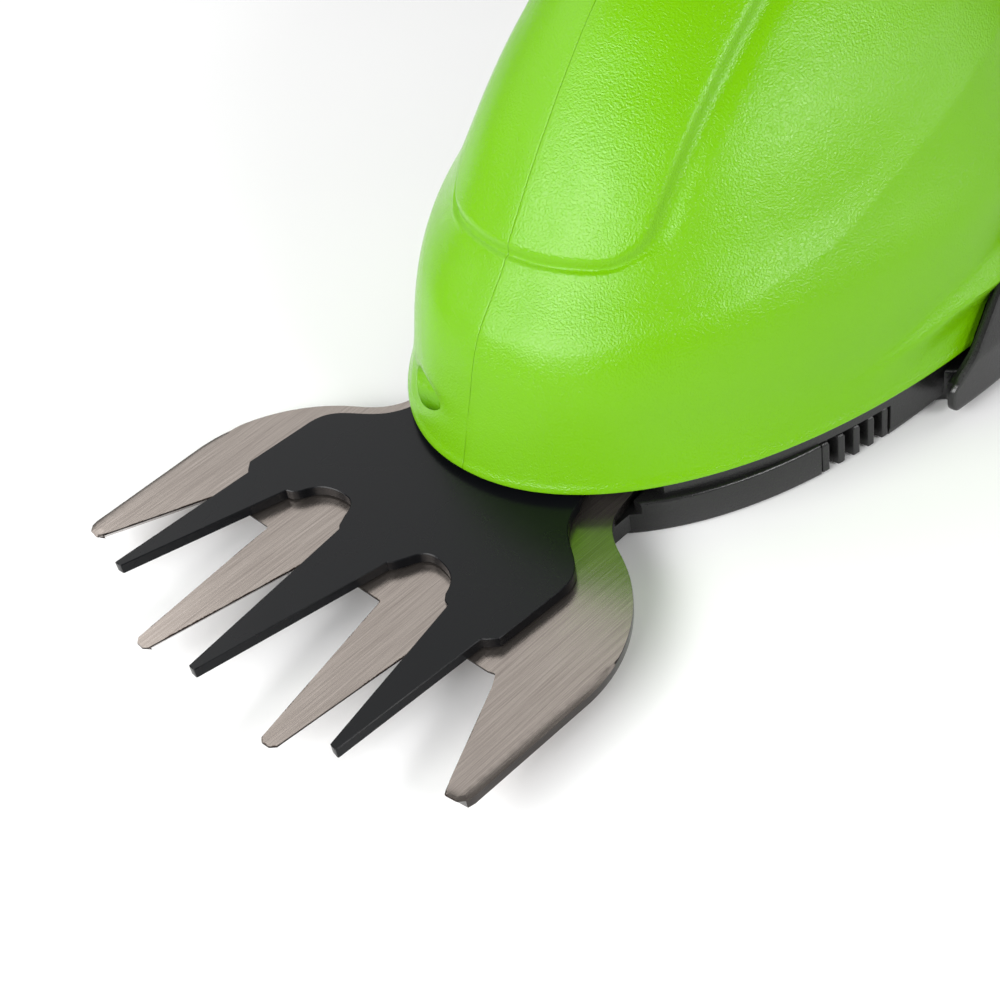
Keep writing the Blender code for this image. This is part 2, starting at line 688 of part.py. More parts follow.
def base_pan():
    """The black tray below the housing: it carries the lower blade, the deck and the housing's rim."""
    pan = plate("base_pan", [pan_outline()], 0.0, PAN_HEIGHT, "black_shell")
    cut(pan, plate("pan_pocket", [pan_outline(PAN_WALL)], PAN_FLOOR, PAN_HEIGHT + 2, "black_shell"))
    ring_top = RIM_Z - GAP
    ring = plate("pan_ring", [body_outline(RIM_Z, -2.0, RING_FRONT_Y, RING_REAR_Y)],
                 PAN_FLOOR + 0.5, ring_top, "black_shell")
    cut(ring, plate("pan_ring_bore", [body_outline(RIM_Z, -2.0 - SHELL_WALL, RING_FRONT_Y - 5, RING_REAR_Y + 5)],
                    0.0, RIM_Z + 2, "black_shell"))
    join(pan, ring)
    seat_half = 27.0
    seat_rear = 17.0
    join(pan, box("blade_seat", (-seat_half, PAN_FRONT_Y + 3, PAN_FLOOR / 2),
                  (seat_half, seat_rear, SEAT_Z), "black_shell"))
    join(pan, rods("pan_bosses", [((x, y, PAN_FLOOR / 2), (x, y, DECK_Z - GAP), BOSS_R) for x, y in BOSSES],
                   "black_shell", steps=11))
    cut(pan, box("blade_mouth", (-33.0, PAN_FRONT_Y - 5, SEAT_Z), (33.0, -2.0, RIM_Z + 2), "black_shell"))
    cut(pan, box("blade_recess", (-seat_half, -3.0, SEAT_Z), (seat_half, seat_rear, RIM_Z + 2), "black_shell"))
    cut(pan, rods("nut_recess", [((0, 0, PAN_FLOOR), (0, 0, SEAT_Z + 3), NUT_R + 2 * GAP)], "black_shell"))
    for side in (-1, 1):
        inner, outer = sorted((side * (button_inner_x() - BUTTON_TRAVEL), side * (PAN_HALF_WIDTH + 10)))
        cut(pan, box("button_window", (inner, BUTTON_Y0 - GAP, -1.0),
                     (outer, BUTTON_Y1 + GAP, PAN_HEIGHT), "black_shell"))
    screw_holes = [((x, y, -1.0), (x, y, DECK_Z + 2), SCREW_R + GAP) for x, y in BOSSES]
    head_holes = [((x, y, -1.0), (x, y, PAN_FLOOR + 1.0), SCREW_HEAD_R + GAP) for x, y in BOSSES]
    cut(pan, rods("pan_screw_holes", screw_holes, "black_shell", steps=9))
    cut(pan, rods("pan_head_holes", head_holes, "black_shell", steps=12))
    return pan


def button_inner_x():
    return pan_half_width(BUTTON_Y0) - BUTTON_DEPTH


def release_button(side):
    """A push button in the pan's side, with upright grooves for the finger."""
    inner = button_inner_x() + GAP
    length = BUTTON_Y1 - BUTTON_Y0
    rib = (length - BUTTON_GROOVES * GROOVE_W) / (BUTTON_GROOVES + 1)
    half = [(inner, BUTTON_Y0), (pan_half_width(BUTTON_Y0), BUTTON_Y0)]
    y = BUTTON_Y0 + rib
    for _ in range(BUTTON_GROOVES):
        depth = pan_half_width(y) - GROOVE_DEPTH
        half += [(pan_half_width(y), y), (depth, y), (depth, y + GROOVE_W),
                 (pan_half_width(y + GROOVE_W), y + GROOVE_W)]
        y += GROOVE_W + rib
    half += [(pan_half_width(BUTTON_Y1), BUTTON_Y1), (inner, BUTTON_Y1)]
    name = "release_button_right" if side > 0 else "release_button_left"
    outline = [(side * x, yy) for x, yy in half]
    centre = (side * (inner + BUTTON_DEPTH / 2), (BUTTON_Y0 + BUTTON_Y1) / 2, PAN_HEIGHT / 2)
    return plate(name, [outline], GAP, PAN_HEIGHT - GAP, "black_shell", origin=centre)


def release_spring(side):
    """The coil between the deck boss and the release button."""
    wire = 0.4
    y = (BUTTON_Y0 + BUTTON_Y1) / 2
    z = PAN_FLOOR + 2.4
    start = (side * (abs(BOSSES[0][0]) + BOSS_R + wire + GAP), y, z)
    end = (side * (button_inner_x() - wire), y, z)
    name = "release_spring_right" if side > 0 else "release_spring_left"
    return tube(name, coil(start, end, 1.6, 4), wire, "zinc_steel")


# Drive train

def gear_outline(teeth, centre, phase=0.0, backlash=0.12):
    """Straight-sided teeth, a little thin and short so that mating gears never touch."""
    pitch = MODULE * teeth / 2
    root = pitch - 1.15 * MODULE
    tip = pitch + 0.8 * MODULE
    out = []
    for i in range(teeth):
        mid = phase + 2 * math.pi * i / teeth
        quarter = math.pi / teeth / 2
        at_root = quarter * 1.55 - backlash / pitch
        at_tip = quarter * 0.5 - backlash / pitch / 2
        for radius, angle in ((root, -at_root), (tip, -at_tip), (tip, at_tip), (root, at_root)):
            a = mid + angle
            out.append((centre[0] + radius * math.cos(a), centre[1] + radius * math.sin(a)))
    return out


def gear_train():
    """Motor pinion, two-step idler and crank gear, in mesh along the plane of symmetry."""
    back = math.pi / 2
    crank_phase = back
    idler_small_phase = -back + math.pi / IDLER_SMALL_TEETH
    idler_big_phase = back
    pinion_phase = -back + math.pi / PINION_TEETH
    crank = plate("crank_gear", [gear_outline(CRANK_TEETH, (0, CRANK_Y), crank_phase),
                                 circle(0, CRANK_Y, CRANK_SHAFT_R + GAP, 14)],
                  GEAR_Z, GEAR_Z + GEAR_T, "gear_nylon", origin=(0, CRANK_Y, GEAR_Z))
    pin_low = YOKE_Z + GAP
    join(crank, rods("crank_pin", [((PIN_X, PIN_Y, pin_low), (PIN_X, PIN_Y, GEAR_Z + GEAR_T / 2), CRANK_PIN_R)],
                     "gear_nylon"))
    cut(crank, rods("crank_bore", [((0, CRANK_Y, GEAR_Z - 1), (0, CRANK_Y, GEAR_Z + GEAR_T + 1),
                                    CRANK_SHAFT_R + GAP)], "gear_nylon", steps=14))
    rods("crank_shaft", [((0, CRANK_Y, GEAR_Z + GAP), (0, CRANK_Y, PLATE_Z + PLATE_T), CRANK_SHAFT_R)],
         "zinc_steel", origin=(0, CRANK_Y, GEAR_Z))
    bore = circle(0, IDLER_Y, IDLER_AXLE_R + GAP, 14)
    idler = plate("idler_gear", [gear_outline(IDLER_BIG_TEETH, (0, IDLER_Y), idler_big_phase), bore],
                  WHEEL_Z, WHEEL_Z + WHEEL_T, "gear_nylon", origin=(0, IDLER_Y, GEAR_Z))
    join(idler, plate("idler_small", [gear_outline(IDLER_SMALL_TEETH, (0, IDLER_Y), idler_small_phase), bore],
                      GEAR_Z, WHEEL_Z + WHEEL_T / 2, "gear_nylon"))
    rods("idler_axle", [((0, IDLER_Y, DECK_Z), (0, IDLER_Y, PLATE_Z + PLATE_T), IDLER_AXLE_R)], "zinc_steel")
    plate("motor_pinion", [gear_outline(PINION_TEETH, (0, MOTOR_Y), pinion_phase),
                           circle(0, MOTOR_Y, MOTOR_SHAFT_R + GAP, 12)],
          WHEEL_Z + GAP, PLATE_Z - GAP, "zinc_steel", origin=(0, MOTOR_Y, GEAR_Z))
    rods("motor_shaft", [((0, MOTOR_Y, WHEEL_Z), (0, MOTOR_Y, MOTOR_Z - GAP), MOTOR_SHAFT_R)],
         "zinc_steel", origin=(0, MOTOR_Y, GEAR_Z))


DECK_HALF = [(12.0, -4.0), (20.0, 1.0), (27.0, 12.0), (29.0, 30.0), (29.0, 72.0)]


def gearbox():
    """Lower deck with its posts, and the plate above the gears that the motor stands on."""
    pin_clearance = CRANK_THROW + CRANK_PIN_R + 2 * GAP
    holes = [circle(0, CRANK_Y, pin_clearance, 20), circle(0, IDLER_Y, IDLER_AXLE_R + GAP, 14)]
    holes += [circle(x, y, SCREW_R + GAP, 12) for x, y in BOSSES]
    deck = plate("drive_deck", [mirrored(DECK_HALF)] + holes, DECK_Z, DECK_Z + DECK_T, "grey_plastic")
    join(deck, rods("deck_posts", [((x, y, DECK_Z + 1), (x, y, PLATE_Z - GAP), BOSS_R) for x, y in POSTS],
                    "grey_plastic", steps=13))
    cut(deck, rods("post_holes", [((x, y, DECK_Z + DECK_T + 1), (x, y, PLATE_Z + 1), SCREW_R + GAP)
                                  for x, y in POSTS], "grey_plastic", steps=12))
    holes = [circle(0, CRANK_Y, CRANK_SHAFT_R + GAP, 14), circle(0, IDLER_Y, IDLER_AXLE_R + GAP, 14),
             circle(0, MOTOR_Y, 5.0, 16)]
    holes += [circle(x, y, SCREW_R + GAP, 12) for x, y in POSTS]
    rear = MOTOR_Y + MOTOR_R - 1.75
    half = [(20.0, 4.0), (22.0, 12.0), (27.5, 30.0), (27.5, rear), (20.0, rear + 4.0)]
    plate("gearbox_plate", [mirrored(half)] + holes, PLATE_Z, PLATE_Z + PLATE_T, "grey_plastic")
    top = PLATE_Z + PLATE_T + GAP + SCREW_HEAD_H
    for i, (x, y) in enumerate(POSTS, 1):
        screw("gearbox_screw_%d" % i, (x, y, top), (x, y, DECK_Z + DECK_T + 1 + GAP))
    for i, (x, y) in enumerate(BOSSES, 1):
        screw("pan_screw_%d" % i, (x, y, GAP), (x, y, DECK_Z + DECK_T), head_h=PAN_FLOOR + 1.0 - 2 * GAP)


def motor():
    """A small brushed motor, standing on the gearbox plate."""
    low, high = MOTOR_Z, MOTOR_Z + MOTOR_LENGTH
    turned("motor_can", [(0, high - 3), (MOTOR_R - 1, high - 3), (MOTOR_R, high - 4), (MOTOR_R, low + 1.5),
                         (MOTOR_R - 1.5, low), (0, low)], "zinc_steel", (0, MOTOR_Y, 0), steps=28)
    turned("motor_end_cap", [(0, high), (4.0, high), (4.5, high - 1), (MOTOR_R - 2, high - 1),
                             (MOTOR_R - 1, high - 3 + GAP), (0, high - 3 + GAP)],
           "black_shell", (0, MOTOR_Y, 0), steps=28)


# Battery

CELL_BELOW_Z = PAN_FLOOR + GAP + CRADLE_T + GAP + CELL_R
CELL_ABOVE_Z = CELL_BELOW_Z + 2 * CELL_R + 2 * GAP


def battery():
    """Two cells lie across the body in a cradle on the pan's floor."""
    for name, z in (("battery_cell_lower", CELL_BELOW_Z), ("battery_cell_upper", CELL_ABOVE_Z)):
        half = CELL_LENGTH / 2
        profile = [(0, half), (3.2, half), (3.4, half - 1.4), (CELL_R - 0.6, half - 1.4),
                   (CELL_R, half - 2), (CELL_R, -half), (0, -half)]
        turned(name, profile, "cell_wrap", (0, CELL_Y, z), axis="X", steps=20)
    end = CELL_LENGTH / 2 + GAP
    low, high = PAN_FLOOR + GAP, CELL_ABOVE_Z
    span = CELL_R + 1.0
    cradle = box("battery_cradle", (-end - CRADLE_T, CELL_Y - span + 1, low),
                 (end + CRADLE_T, CELL_Y + span - 1, low + CRADLE_T), "grey_plastic")
    for side in (-1, 1):
        inner, outer = sorted((side * end, side * (end + CRADLE_T)))
        join(cradle, box("cradle_end", (inner, CELL_Y - span + 2, low + 0.5),
                         (outer, CELL_Y + span - 2, high), "grey_plastic"))


# Nose shells

def body_rings(levels, y_from, y_to, offset, count, spread, close_x=-1.0):
    """Horizontal slices of the body's right half; each closes at close_x, past the parting line."""
    rings = []
    for z in levels:
        y0, y1 = y_from(z), y_to(z)
        ring = [(close_x, y0, z)]
        for i in range(count):
            t = i / (count - 1)
            y = y0 + (y1 - y0) * spread(t)
            ring.append((max(half_width(z, y, offset), 0.0) + 0.02 * t * (1 - t), y, z))
        ring.append((close_x, y1, z))
        rings.append(ring)
    return rings


def mirror_object(obj):
    """Turns a right half into a left one, with its faces still pointing out."""
    bm = bmesh.new()
    bm.from_mesh(obj.data)
    bmesh.ops.scale(bm, vec=(-1, 1, 1), verts=bm.verts)
    bmesh.ops.reverse_faces(bm, faces=bm.faces)
    bm.to_mesh(obj.data)
    bm.free()
    return obj


def split_plane(obj, side):
    """Trims a half back to its own side of the parting line."""
    inner, outer = sorted((side * -5.0, side * GAP / 2))
    return cut(obj, box("split", (inner, -60, -10), (outer, 300, 130), "black_shell"))


def screw_bosses(bore, side, screws, finish):
    """Leaves the screws' bosses standing in the shell by taking them out of its bore."""
    start = side * (GAP / 2 + 0.02)
    return cut(bore, rods("bosses", [((start, y, z), (side * 70, y, z), SCREW_BOSS_R) for y, z, _, _ in screws],
                          finish, steps=14))


def screw_holes(shell, side, screws, finish):
    """The left half takes the heads and shanks, the right half the threads."""
    if side > 0:
        return cut(shell, rods("thread_holes", [((-1, y, z), (tip + GAP, y, z), SCREW_R + GAP)
                                                for y, z, _, tip in screws], finish, steps=12))
    cut(shell, rods("head_holes", [((-head + SCREW_HEAD_H + GAP, y, z), (-70, y, z), SCREW_HEAD_R + GAP)
                                   for y, z, head, _ in screws], finish, steps=14))
    return cut(shell, rods("shank_holes", [((1, y, z), (-head - 1, y, z), SCREW_R + GAP)
                                           for y, z, head, _ in screws], finish, steps=12))


BODY_LEVELS = [11.0, 16.0, 22.0, 31.0, 40.0, 49.0, 58.0, 67.0, 76.0, 84.0, 91.0, 95.5, 98.0]


def levels_between(low, high, plain):
    """The body's own levels, stretched to run from low to high."""
    a, b = plain[0], plain[-1]
    return [low + (z - a) * (high - low) / (b - a) for z in plain]


def nose_shell(side):
    """One half of the green nose: an open shell that stops under the rear cowl's edge."""
    name = "nose_shell_right" if side > 0 else "nose_shell_left"

    def rear(z):
        return cowl_edge_y(z) + SEAM_OVERLAP

    outer_levels = levels_between(RIM_Z, BODY_TOP_Z, BODY_LEVELS)
    inner_levels = levels_between(RIM_Z - 2, BODY_TOP_Z - SHELL_WALL, BODY_LEVELS[::2])
    outer = loft(name, body_rings(outer_levels, front_y, rear, 0.0, 14, dense_at_front),
                 "green_shell")
    inner = loft("nose_bore", body_rings(inner_levels, lambda z: front_y(z, -SHELL_WALL),
                                         lambda z: rear(z) + 6, -SHELL_WALL, 9,
                                         dense_at_front, close_x=-2.0),
                 "green_shell")
    for obj in (outer, inner):
        if side < 0:
            mirror_object(obj)
    split_plane(outer, side)
    cut(outer, screw_bosses(inner, side, NOSE_SCREWS, "green_shell"))
    screw_holes(outer, side, NOSE_SCREWS, "green_shell")
    return outer


# Rear shells: cowl, tail and handle loop in one moulding

def handle_path():
    """Places round the handle's centre line, with the outward direction at each."""
    grip_z = GRIP_AXIS_Z
    bar_z = BAR_BOTTOM_Z + BAR_HALF_HEIGHT
    column_y = HANDLE_REAR_Y - GRIP_HALF_HEIGHT + 1.0
    upper_y = column_y - UPPER_BEND
    lower_y = column_y - LOWER_BEND
    top_run = 5
    path = [(Vector((HANDLE_ROOT_Y + (upper_y - HANDLE_ROOT_Y) * i / top_run, grip_z)), Vector((0, 1)))
            for i in range(top_run)]
    for centre_y, centre_z, bend, start, steps in ((upper_y, grip_z - UPPER_BEND, UPPER_BEND, 90, 5),
                                                   (lower_y, bar_z + LOWER_BEND, LOWER_BEND, 0, 4)):
        for i in range(steps + 1):
            a = math.radians(start - 90 * i / steps)
            outward = Vector((math.cos(a), math.sin(a)))
            path.append((Vector((centre_y, centre_z)) + outward * bend, outward))
    bottom_run = 4
    path += [(Vector((lower_y + (HANDLE_ROOT_Y - lower_y) * i / bottom_run, bar_z)), Vector((0, -1)))
             for i in range(1, bottom_run + 1)]
    return path


def handle_stations():
    """The handle's centre line with its half thickness and half width at each place."""
    path = handle_path()
    run = [0.0]
    for (a, _), (b, _) in zip(path, path[1:]):
        run.append(run[-1] + (b - a).length)
    thickness = curve_through([(0.0, GRIP_HALF_HEIGHT), (0.42 * run[-1], GRIP_HALF_HEIGHT),
                               (0.53 * run[-1], GRIP_HALF_HEIGHT - 1.5), (0.63 * run[-1], BAR_HALF_HEIGHT),
                               (run[-1], BAR_HALF_HEIGHT)])
    width = curve_through([(0.0, GRIP_HALF_WIDTH + 2), (0.1 * run[-1], GRIP_HALF_WIDTH),
                           (0.9 * run[-1], GRIP_HALF_WIDTH), (run[-1], GRIP_HALF_WIDTH + 2)])
    return [(point, outward, thickness(r), width(r)) for (point, outward), r in zip(path, run)]


def handle_section(station, inset, steps=8, whole=False, close_x=-1.0):
    """One section of the handle: a squared oval, the whole or a half that closes at close_x."""
    centre, outward, high, wide = station
    high, wide = high - inset, wide - inset
    power = 2 / HANDLE_POWER
    ring = []
    turns = 2 * steps if whole else steps + 1
    for i in range(turns):
        a = math.pi * i / steps
        x = wide * math.copysign(abs(math.sin(a)) ** power, math.sin(a)) if i % steps else 0.0
        s = high * math.copysign(abs(math.cos(a)) ** power, math.cos(a))
        place = centre + outward * s
        ring.append((x, place.x, place.y))
    if not whole:
        ring = [(close_x, *ring[0][1:])] + ring + [(close_x, *ring[-1][1:])]
    return ring


TAIL_LEVELS = [2.0, 11.0, 20.0, 31.0, 42.0, 53.0, 64.0, 75.0, 85.0, 92.0, 96.0, 98.0]


def rear_shell(side):
    """One half of the black rear moulding: the cowl round the nose, the tail and the handle loop."""
    name = "rear_shell_right" if side > 0 else "rear_shell_left"
    top = BODY_TOP_Z + COWL_OFFSET
    inner_offset = COWL_OFFSET - SHELL_WALL
    outer_levels = levels_between(COWL_BOTTOM_Z, top, TAIL_LEVELS)
    inner_levels = levels_between(COWL_BOTTOM_Z - 3, top - SHELL_WALL, TAIL_LEVELS)
    outer = loft(name, body_rings(outer_levels, cowl_edge_y, lambda z: BODY_TAIL_Y + COWL_OFFSET,
                                  COWL_OFFSET, TAIL_STEPS, dense_at_tail), "black_shell")
    inner = loft("tail_bore", body_rings(inner_levels, lambda z: cowl_edge_y(z) - TAIL_LEAD,
                                         lambda z: BODY_TAIL_Y + inner_offset, inner_offset,
                                         TAIL_STEPS, dense_at_tail, -2.0),
                 "black_shell")
    stations = handle_stations()
    loop = loft("handle_loop", [handle_section(s, 0.0) for s in stations], "black_shell")
    loop_bore = loft("handle_bore", [handle_section(s, SHELL_WALL, 6, close_x=-2.0) for s in stations],
                     "black_shell")
    for obj in (outer, inner, loop, loop_bore):
        if side < 0:
            mirror_object(obj)
    join(outer, loop)
    split_plane(outer, side)
    cut(outer, screw_bosses(inner, side, REAR_SCREWS[:1], "black_shell"))
    screw_bosses(loop_bore, side, REAR_SCREWS[1:], "black_shell")
    pin_y, pin_z = TRIGGER_PIVOT_Y, TRIGGER_PIVOT_Z
    cut(loop_bore, rods("inner_bosses", [((side * (TRIGGER_HALF_WIDTH + 3), pin_y, pin_z),
                                          (side * 70, pin_y, pin_z), 3.2),
                                         ((side * (SWITCH_HALF_WIDTH + GAP), SWITCH_Y, SWITCH_Z),
                                          (side * 70, SWITCH_Y, SWITCH_Z), 2.0)], "black_shell", steps=12))
    rib_x = sorted((side * (GAP / 2 + 0.02), side * LOCK_HALF_WIDTH))
    cut(loop_bore, box("lock_rib", (rib_x[0], LOCK_RIB_Y, LOCK_SPRING_Z - 3),
                       (rib_x[1], LOCK_RIB_Y + 2, GRIP_TOP_Z + 5), "black_shell"))
    cut(outer, loop_bore)
    screw_holes(outer, side, REAR_SCREWS, "black_shell")
    cut(outer, rods("pin_hole", [((0, pin_y, pin_z), (side * (TRIGGER_HALF_WIDTH + 6), pin_y, pin_z),
                                  TRIGGER_PIN_R + GAP)], "black_shell", steps=12))
    slot = TRIGGER_HALF_WIDTH + GAP
    cut(outer, box("trigger_slot", (-slot, TRIGGER_PIVOT_Y - 3.6, 60),
                   (slot, TRIGGER_PIVOT_Y + TRIGGER_LENGTH + 2.4, TRIGGER_PIVOT_Z), "black_shell"))
    stem = LOCK_HALF_WIDTH - 2
    cut(outer, rods("socket_hole", [((0, HANDLE_REAR_Y - SOCKET_DEPTH - 4, SOCKET_Z), (0, HANDLE_REAR_Y + 5, SOCKET_Z),
                                     SOCKET_R + GAP)], "black_shell", steps=16))
    cut(outer, rods("lamp_hole", [((0, HANDLE_REAR_Y - 8, LAMP_Z), (0, HANDLE_REAR_Y + 5, LAMP_Z),
                                   LAMP_R + GAP)], "black_shell", steps=12))
    cut(outer, box("lock_slot", (-stem - GAP, LOCK_Y - LOCK_LENGTH / 2 + 3 - LOCK_TRAVEL - GAP, 90),
                   (stem + GAP, LOCK_Y + LOCK_LENGTH / 2 - 3 + GAP, 110), "black_shell"))
    return outer


def shell_screws():
    """The screws that draw the split housing together, all driven from the left."""
    for i, (y, z, head, tip) in enumerate(NOSE_SCREWS + REAR_SCREWS, 1):
        screw("shell_screw_%d" % i, (-head, y, z), (tip, y, z))


def grip_cover():
    """The soft sleeve moulded round the straight part of the hand grip."""
    def section(y, inset):
        station = (Vector((y, GRIP_TOP_Z - GRIP_HALF_HEIGHT)), Vector((0, 1)), GRIP_HALF_HEIGHT, GRIP_HALF_WIDTH)
        return handle_section(station, inset, whole=True)

    y0, y1 = GRIP_COVER_START_Y, GRIP_COVER_END_Y
    outer = loft("grip_cover", [section(y, -GAP - GRIP_COVER_T) for y in (y0, y1)], "soft_grip")
    return cut(outer, loft("grip_bore", [section(y, -GAP) for y in (y0 - 3, y1 + 3)], "soft_grip"))


def heel_foot():
    """A rubber foot below the rear of the handle's lower bar."""
    return box("heel_foot", (-FOOT_HALF_WIDTH, FOOT_Y, 0.0),
               (FOOT_HALF_WIDTH, FOOT_Y + FOOT_LENGTH, BAR_BOTTOM_Z - GAP), "soft_grip")


# Controls in the grip

def trigger():
    """The pull-up trigger, hinged at its front on a cross pin."""
    y, z, w = TRIGGER_PIVOT_Y, TRIGGER_PIVOT_Z, TRIGGER_HALF_WIDTH
    front, rear, drop = y - 3.0, y + TRIGGER_LENGTH, z - TRIGGER_DROP
    outline = [(front, z + 3), (front, z - 8)]
    outline += bezier((front, z - 8), (front + 1.5, drop + 4), (front + 2, drop), (front + 6, drop + 0.5), 5)
    outline += bezier((front + 6, drop + 0.5), (y + 12, drop + 5), (rear - 6, drop + 7), (rear - 1, drop + 5), 5)
    outline += [(rear - 1, drop + 5), (rear, drop + 6.5), (rear, z - 3), (y + 6, z + 3)]
    return plate("trigger", [outline, circle(y, z, TRIGGER_PIN_R + GAP, 12)], -w, w, "clutch_red",
                 origin=(0, y, z), frame=SIDE_FRAME)


def trigger_fittings():
    """The trigger's cross pin and its return spring."""
    y, z = TRIGGER_PIVOT_Y, TRIGGER_PIVOT_Z
    pin_half = TRIGGER_HALF_WIDTH + 5.6
    rods("trigger_pin", [((-pin_half, y, z), (pin_half, y, z), TRIGGER_PIN_R)], "zinc_steel", steps=12)
    wire = 0.45
    spring_y = y + TRIGGER_LENGTH - 5
    low = z + wire + GAP - 0.6
    high = GRIP_TOP_Z - SHELL_WALL - wire - 1.2
    tube("trigger_spring", coil((0, spring_y, low), (0, spring_y, high), 2.2, 5), wire, "zinc_steel")


def lock_button():
    """The thumb slide on top of the grip that frees the trigger, with its spring."""
    half = LOCK_LENGTH / 2
    stem = half - 3
    wall = GRIP_TOP_Z - SHELL_WALL
    pad = box("lock_button", (-LOCK_HALF_WIDTH, LOCK_Y - half, GRIP_TOP_Z + GAP),
              (LOCK_HALF_WIDTH, LOCK_Y + half, GRIP_TOP_Z + GAP + LOCK_PAD_H), "clutch_red",
              origin=(0, LOCK_Y, GRIP_TOP_Z))
    join(pad, box("lock_stem", (-LOCK_HALF_WIDTH + 2, LOCK_Y - stem, LOCK_SPRING_Z - 2),
                  (LOCK_HALF_WIDTH - 2, LOCK_Y + stem, GRIP_TOP_Z + LOCK_PAD_H / 2), "clutch_red"))
    join(pad, box("lock_flange", (-LOCK_HALF_WIDTH + 0.5, LOCK_Y - stem - 0.5, wall - 2.8),
                  (LOCK_HALF_WIDTH - 0.5, LOCK_Y + stem + 1.5, wall - 0.8), "clutch_red"))
    wire = 0.35
    tube("lock_spring", coil((0, LOCK_RIB_Y + 2 + GAP + wire, LOCK_SPRING_Z),
                             (0, LOCK_Y - stem - GAP - wire, LOCK_SPRING_Z), 1.3, 5), wire, "zinc_steel")


def electrics():
    """Switch, board, charging socket, lamp and wires."""
    w, half, h = SWITCH_HALF_WIDTH, SWITCH_LENGTH / 2, SWITCH_HEIGHT / 2
    box("switch_body", (-w, SWITCH_Y - half, SWITCH_Z - h), (w, SWITCH_Y + half, SWITCH_Z + h),
        "grey_plastic")
    board_half = GRIP_HALF_WIDTH - SHELL_WALL - 1.4
    box("control_board", (-board_half, BOARD_Y, BOARD_Z), (board_half, BOARD_Y + BOARD_LENGTH, BOARD_Z + BOARD_T),
        "board_green")
    rear = HANDLE_REAR_Y - 0.9
    turned("charge_socket", [(0, -SOCKET_DEPTH), (1.4, -SOCKET_DEPTH), (SOCKET_R, -SOCKET_DEPTH),
                             (SOCKET_R, 0.0), (2.7, 0.0), (2.7, -SOCKET_DEPTH + 3), (0, -SOCKET_DEPTH + 3)][::-1],
           "black_shell", (0, rear, SOCKET_Z), axis="Y", steps=16)
    turned("charge_lamp", [(0, 0.5), (1.2, 0.3), (LAMP_R, -0.4), (LAMP_R, -4.0), (0, -4.0)],
           "lamp", (0, rear, LAMP_Z), axis="Y", steps=14)
    cap_z = MOTOR_Z + MOTOR_LENGTH - 1 + WIRE_R + GAP
    switch_front = SWITCH_Y - SWITCH_LENGTH / 2 - GAP
    cell_top = CELL_ABOVE_Z + CELL_R + GAP + WIRE_R
    board_top = BOARD_Z + BOARD_T + GAP + WIRE_R
    for side, word in ((-1, "left"), (1, "right")):
        route = [(side * 8, MOTOR_Y, cap_z), (side * 7, MOTOR_Y + 8, cap_z + 5), (side * 4, 90, 79),
                 (side * 2.2, 108, 85), (side * 1.6, 120, SWITCH_Z), (side * 1.6, switch_front, SWITCH_Z)]
        tube("motor_wire_" + word, smooth_route(route, 3), WIRE_R, "wire_red", 1)
        route = [(side * 14, CELL_Y, cell_top), (side * 13, CELL_Y + 2, cell_top + 8), (side * 9, 101, 72),
                 (side * 8, 110, 86), (side * 7, 122, 91.5), (side * 7, 150, 91), (side * 8, 162, board_top)]
        tube("battery_wire_" + word, smooth_route(route, 3), WIRE_R, "wire_red", 1)


def build():
    lower_blade()
    upper_blade()
    drive_yoke()
    yoke_screws()
    pivot()
    base_pan()
    for side in (-1, 1):
        release_button(side)
        release_spring(side)
    gear_train()
    gearbox()
    motor()
    battery()
    for side in (-1, 1):
        nose_shell(side)
        rear_shell(side)
    shell_screws()
    grip_cover()
    heel_foot()
    trigger()
    trigger_fittings()
    lock_button()
    electrics()


build()
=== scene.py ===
"""Looks for the cordless garden shears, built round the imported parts.

Sizes are in millimetres until a mesh is made, and MM turns them into metres.
Frame: +Z up, -Y towards the blade tips, X = 0 on the parting line.
"""
import json
import math

import bmesh
import bpy
import numpy as np
from mathutils import Matrix, Vector
from mathutils.bvhtree import BVHTree
from mathutils.geometry import delaunay_2d_cdt


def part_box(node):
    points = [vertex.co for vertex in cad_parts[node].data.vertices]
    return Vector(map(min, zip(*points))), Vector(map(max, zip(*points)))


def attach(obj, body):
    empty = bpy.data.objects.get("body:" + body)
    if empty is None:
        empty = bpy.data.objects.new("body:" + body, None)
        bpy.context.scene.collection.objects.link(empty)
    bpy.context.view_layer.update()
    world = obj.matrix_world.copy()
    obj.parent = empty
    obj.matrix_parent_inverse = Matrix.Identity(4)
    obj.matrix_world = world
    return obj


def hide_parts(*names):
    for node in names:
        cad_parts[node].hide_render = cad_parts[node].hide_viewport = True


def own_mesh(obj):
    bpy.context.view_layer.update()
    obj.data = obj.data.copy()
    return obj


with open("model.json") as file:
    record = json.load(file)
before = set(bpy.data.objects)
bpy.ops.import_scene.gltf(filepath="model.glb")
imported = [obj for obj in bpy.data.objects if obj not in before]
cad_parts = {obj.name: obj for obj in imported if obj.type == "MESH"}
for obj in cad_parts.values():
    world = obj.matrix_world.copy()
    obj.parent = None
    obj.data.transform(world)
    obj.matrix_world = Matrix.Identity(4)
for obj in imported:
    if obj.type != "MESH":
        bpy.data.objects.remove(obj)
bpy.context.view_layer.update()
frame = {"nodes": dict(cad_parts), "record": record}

MM = 0.001
GAP = 0.3
SEAM = 0.04            # half the hairline that shows along the parting line

# Sizes shared with the parts: the body
RIM_Z = 11.0
BODY_TOP_Z = 98.0
NOSE_HALF_WIDTH = 53.3
NOSE_LENGTH = 95.0
NOSE_FRONT_Y = -16.6
NOSE_POWER = 2.1       # how square the nose is in plan: 2 is an ellipse
BODY_TAIL_Y = 118.0
TAIL_START_Y = 60.0
TAIL_POWER = 2.6
SHELL_WALL = 2.2
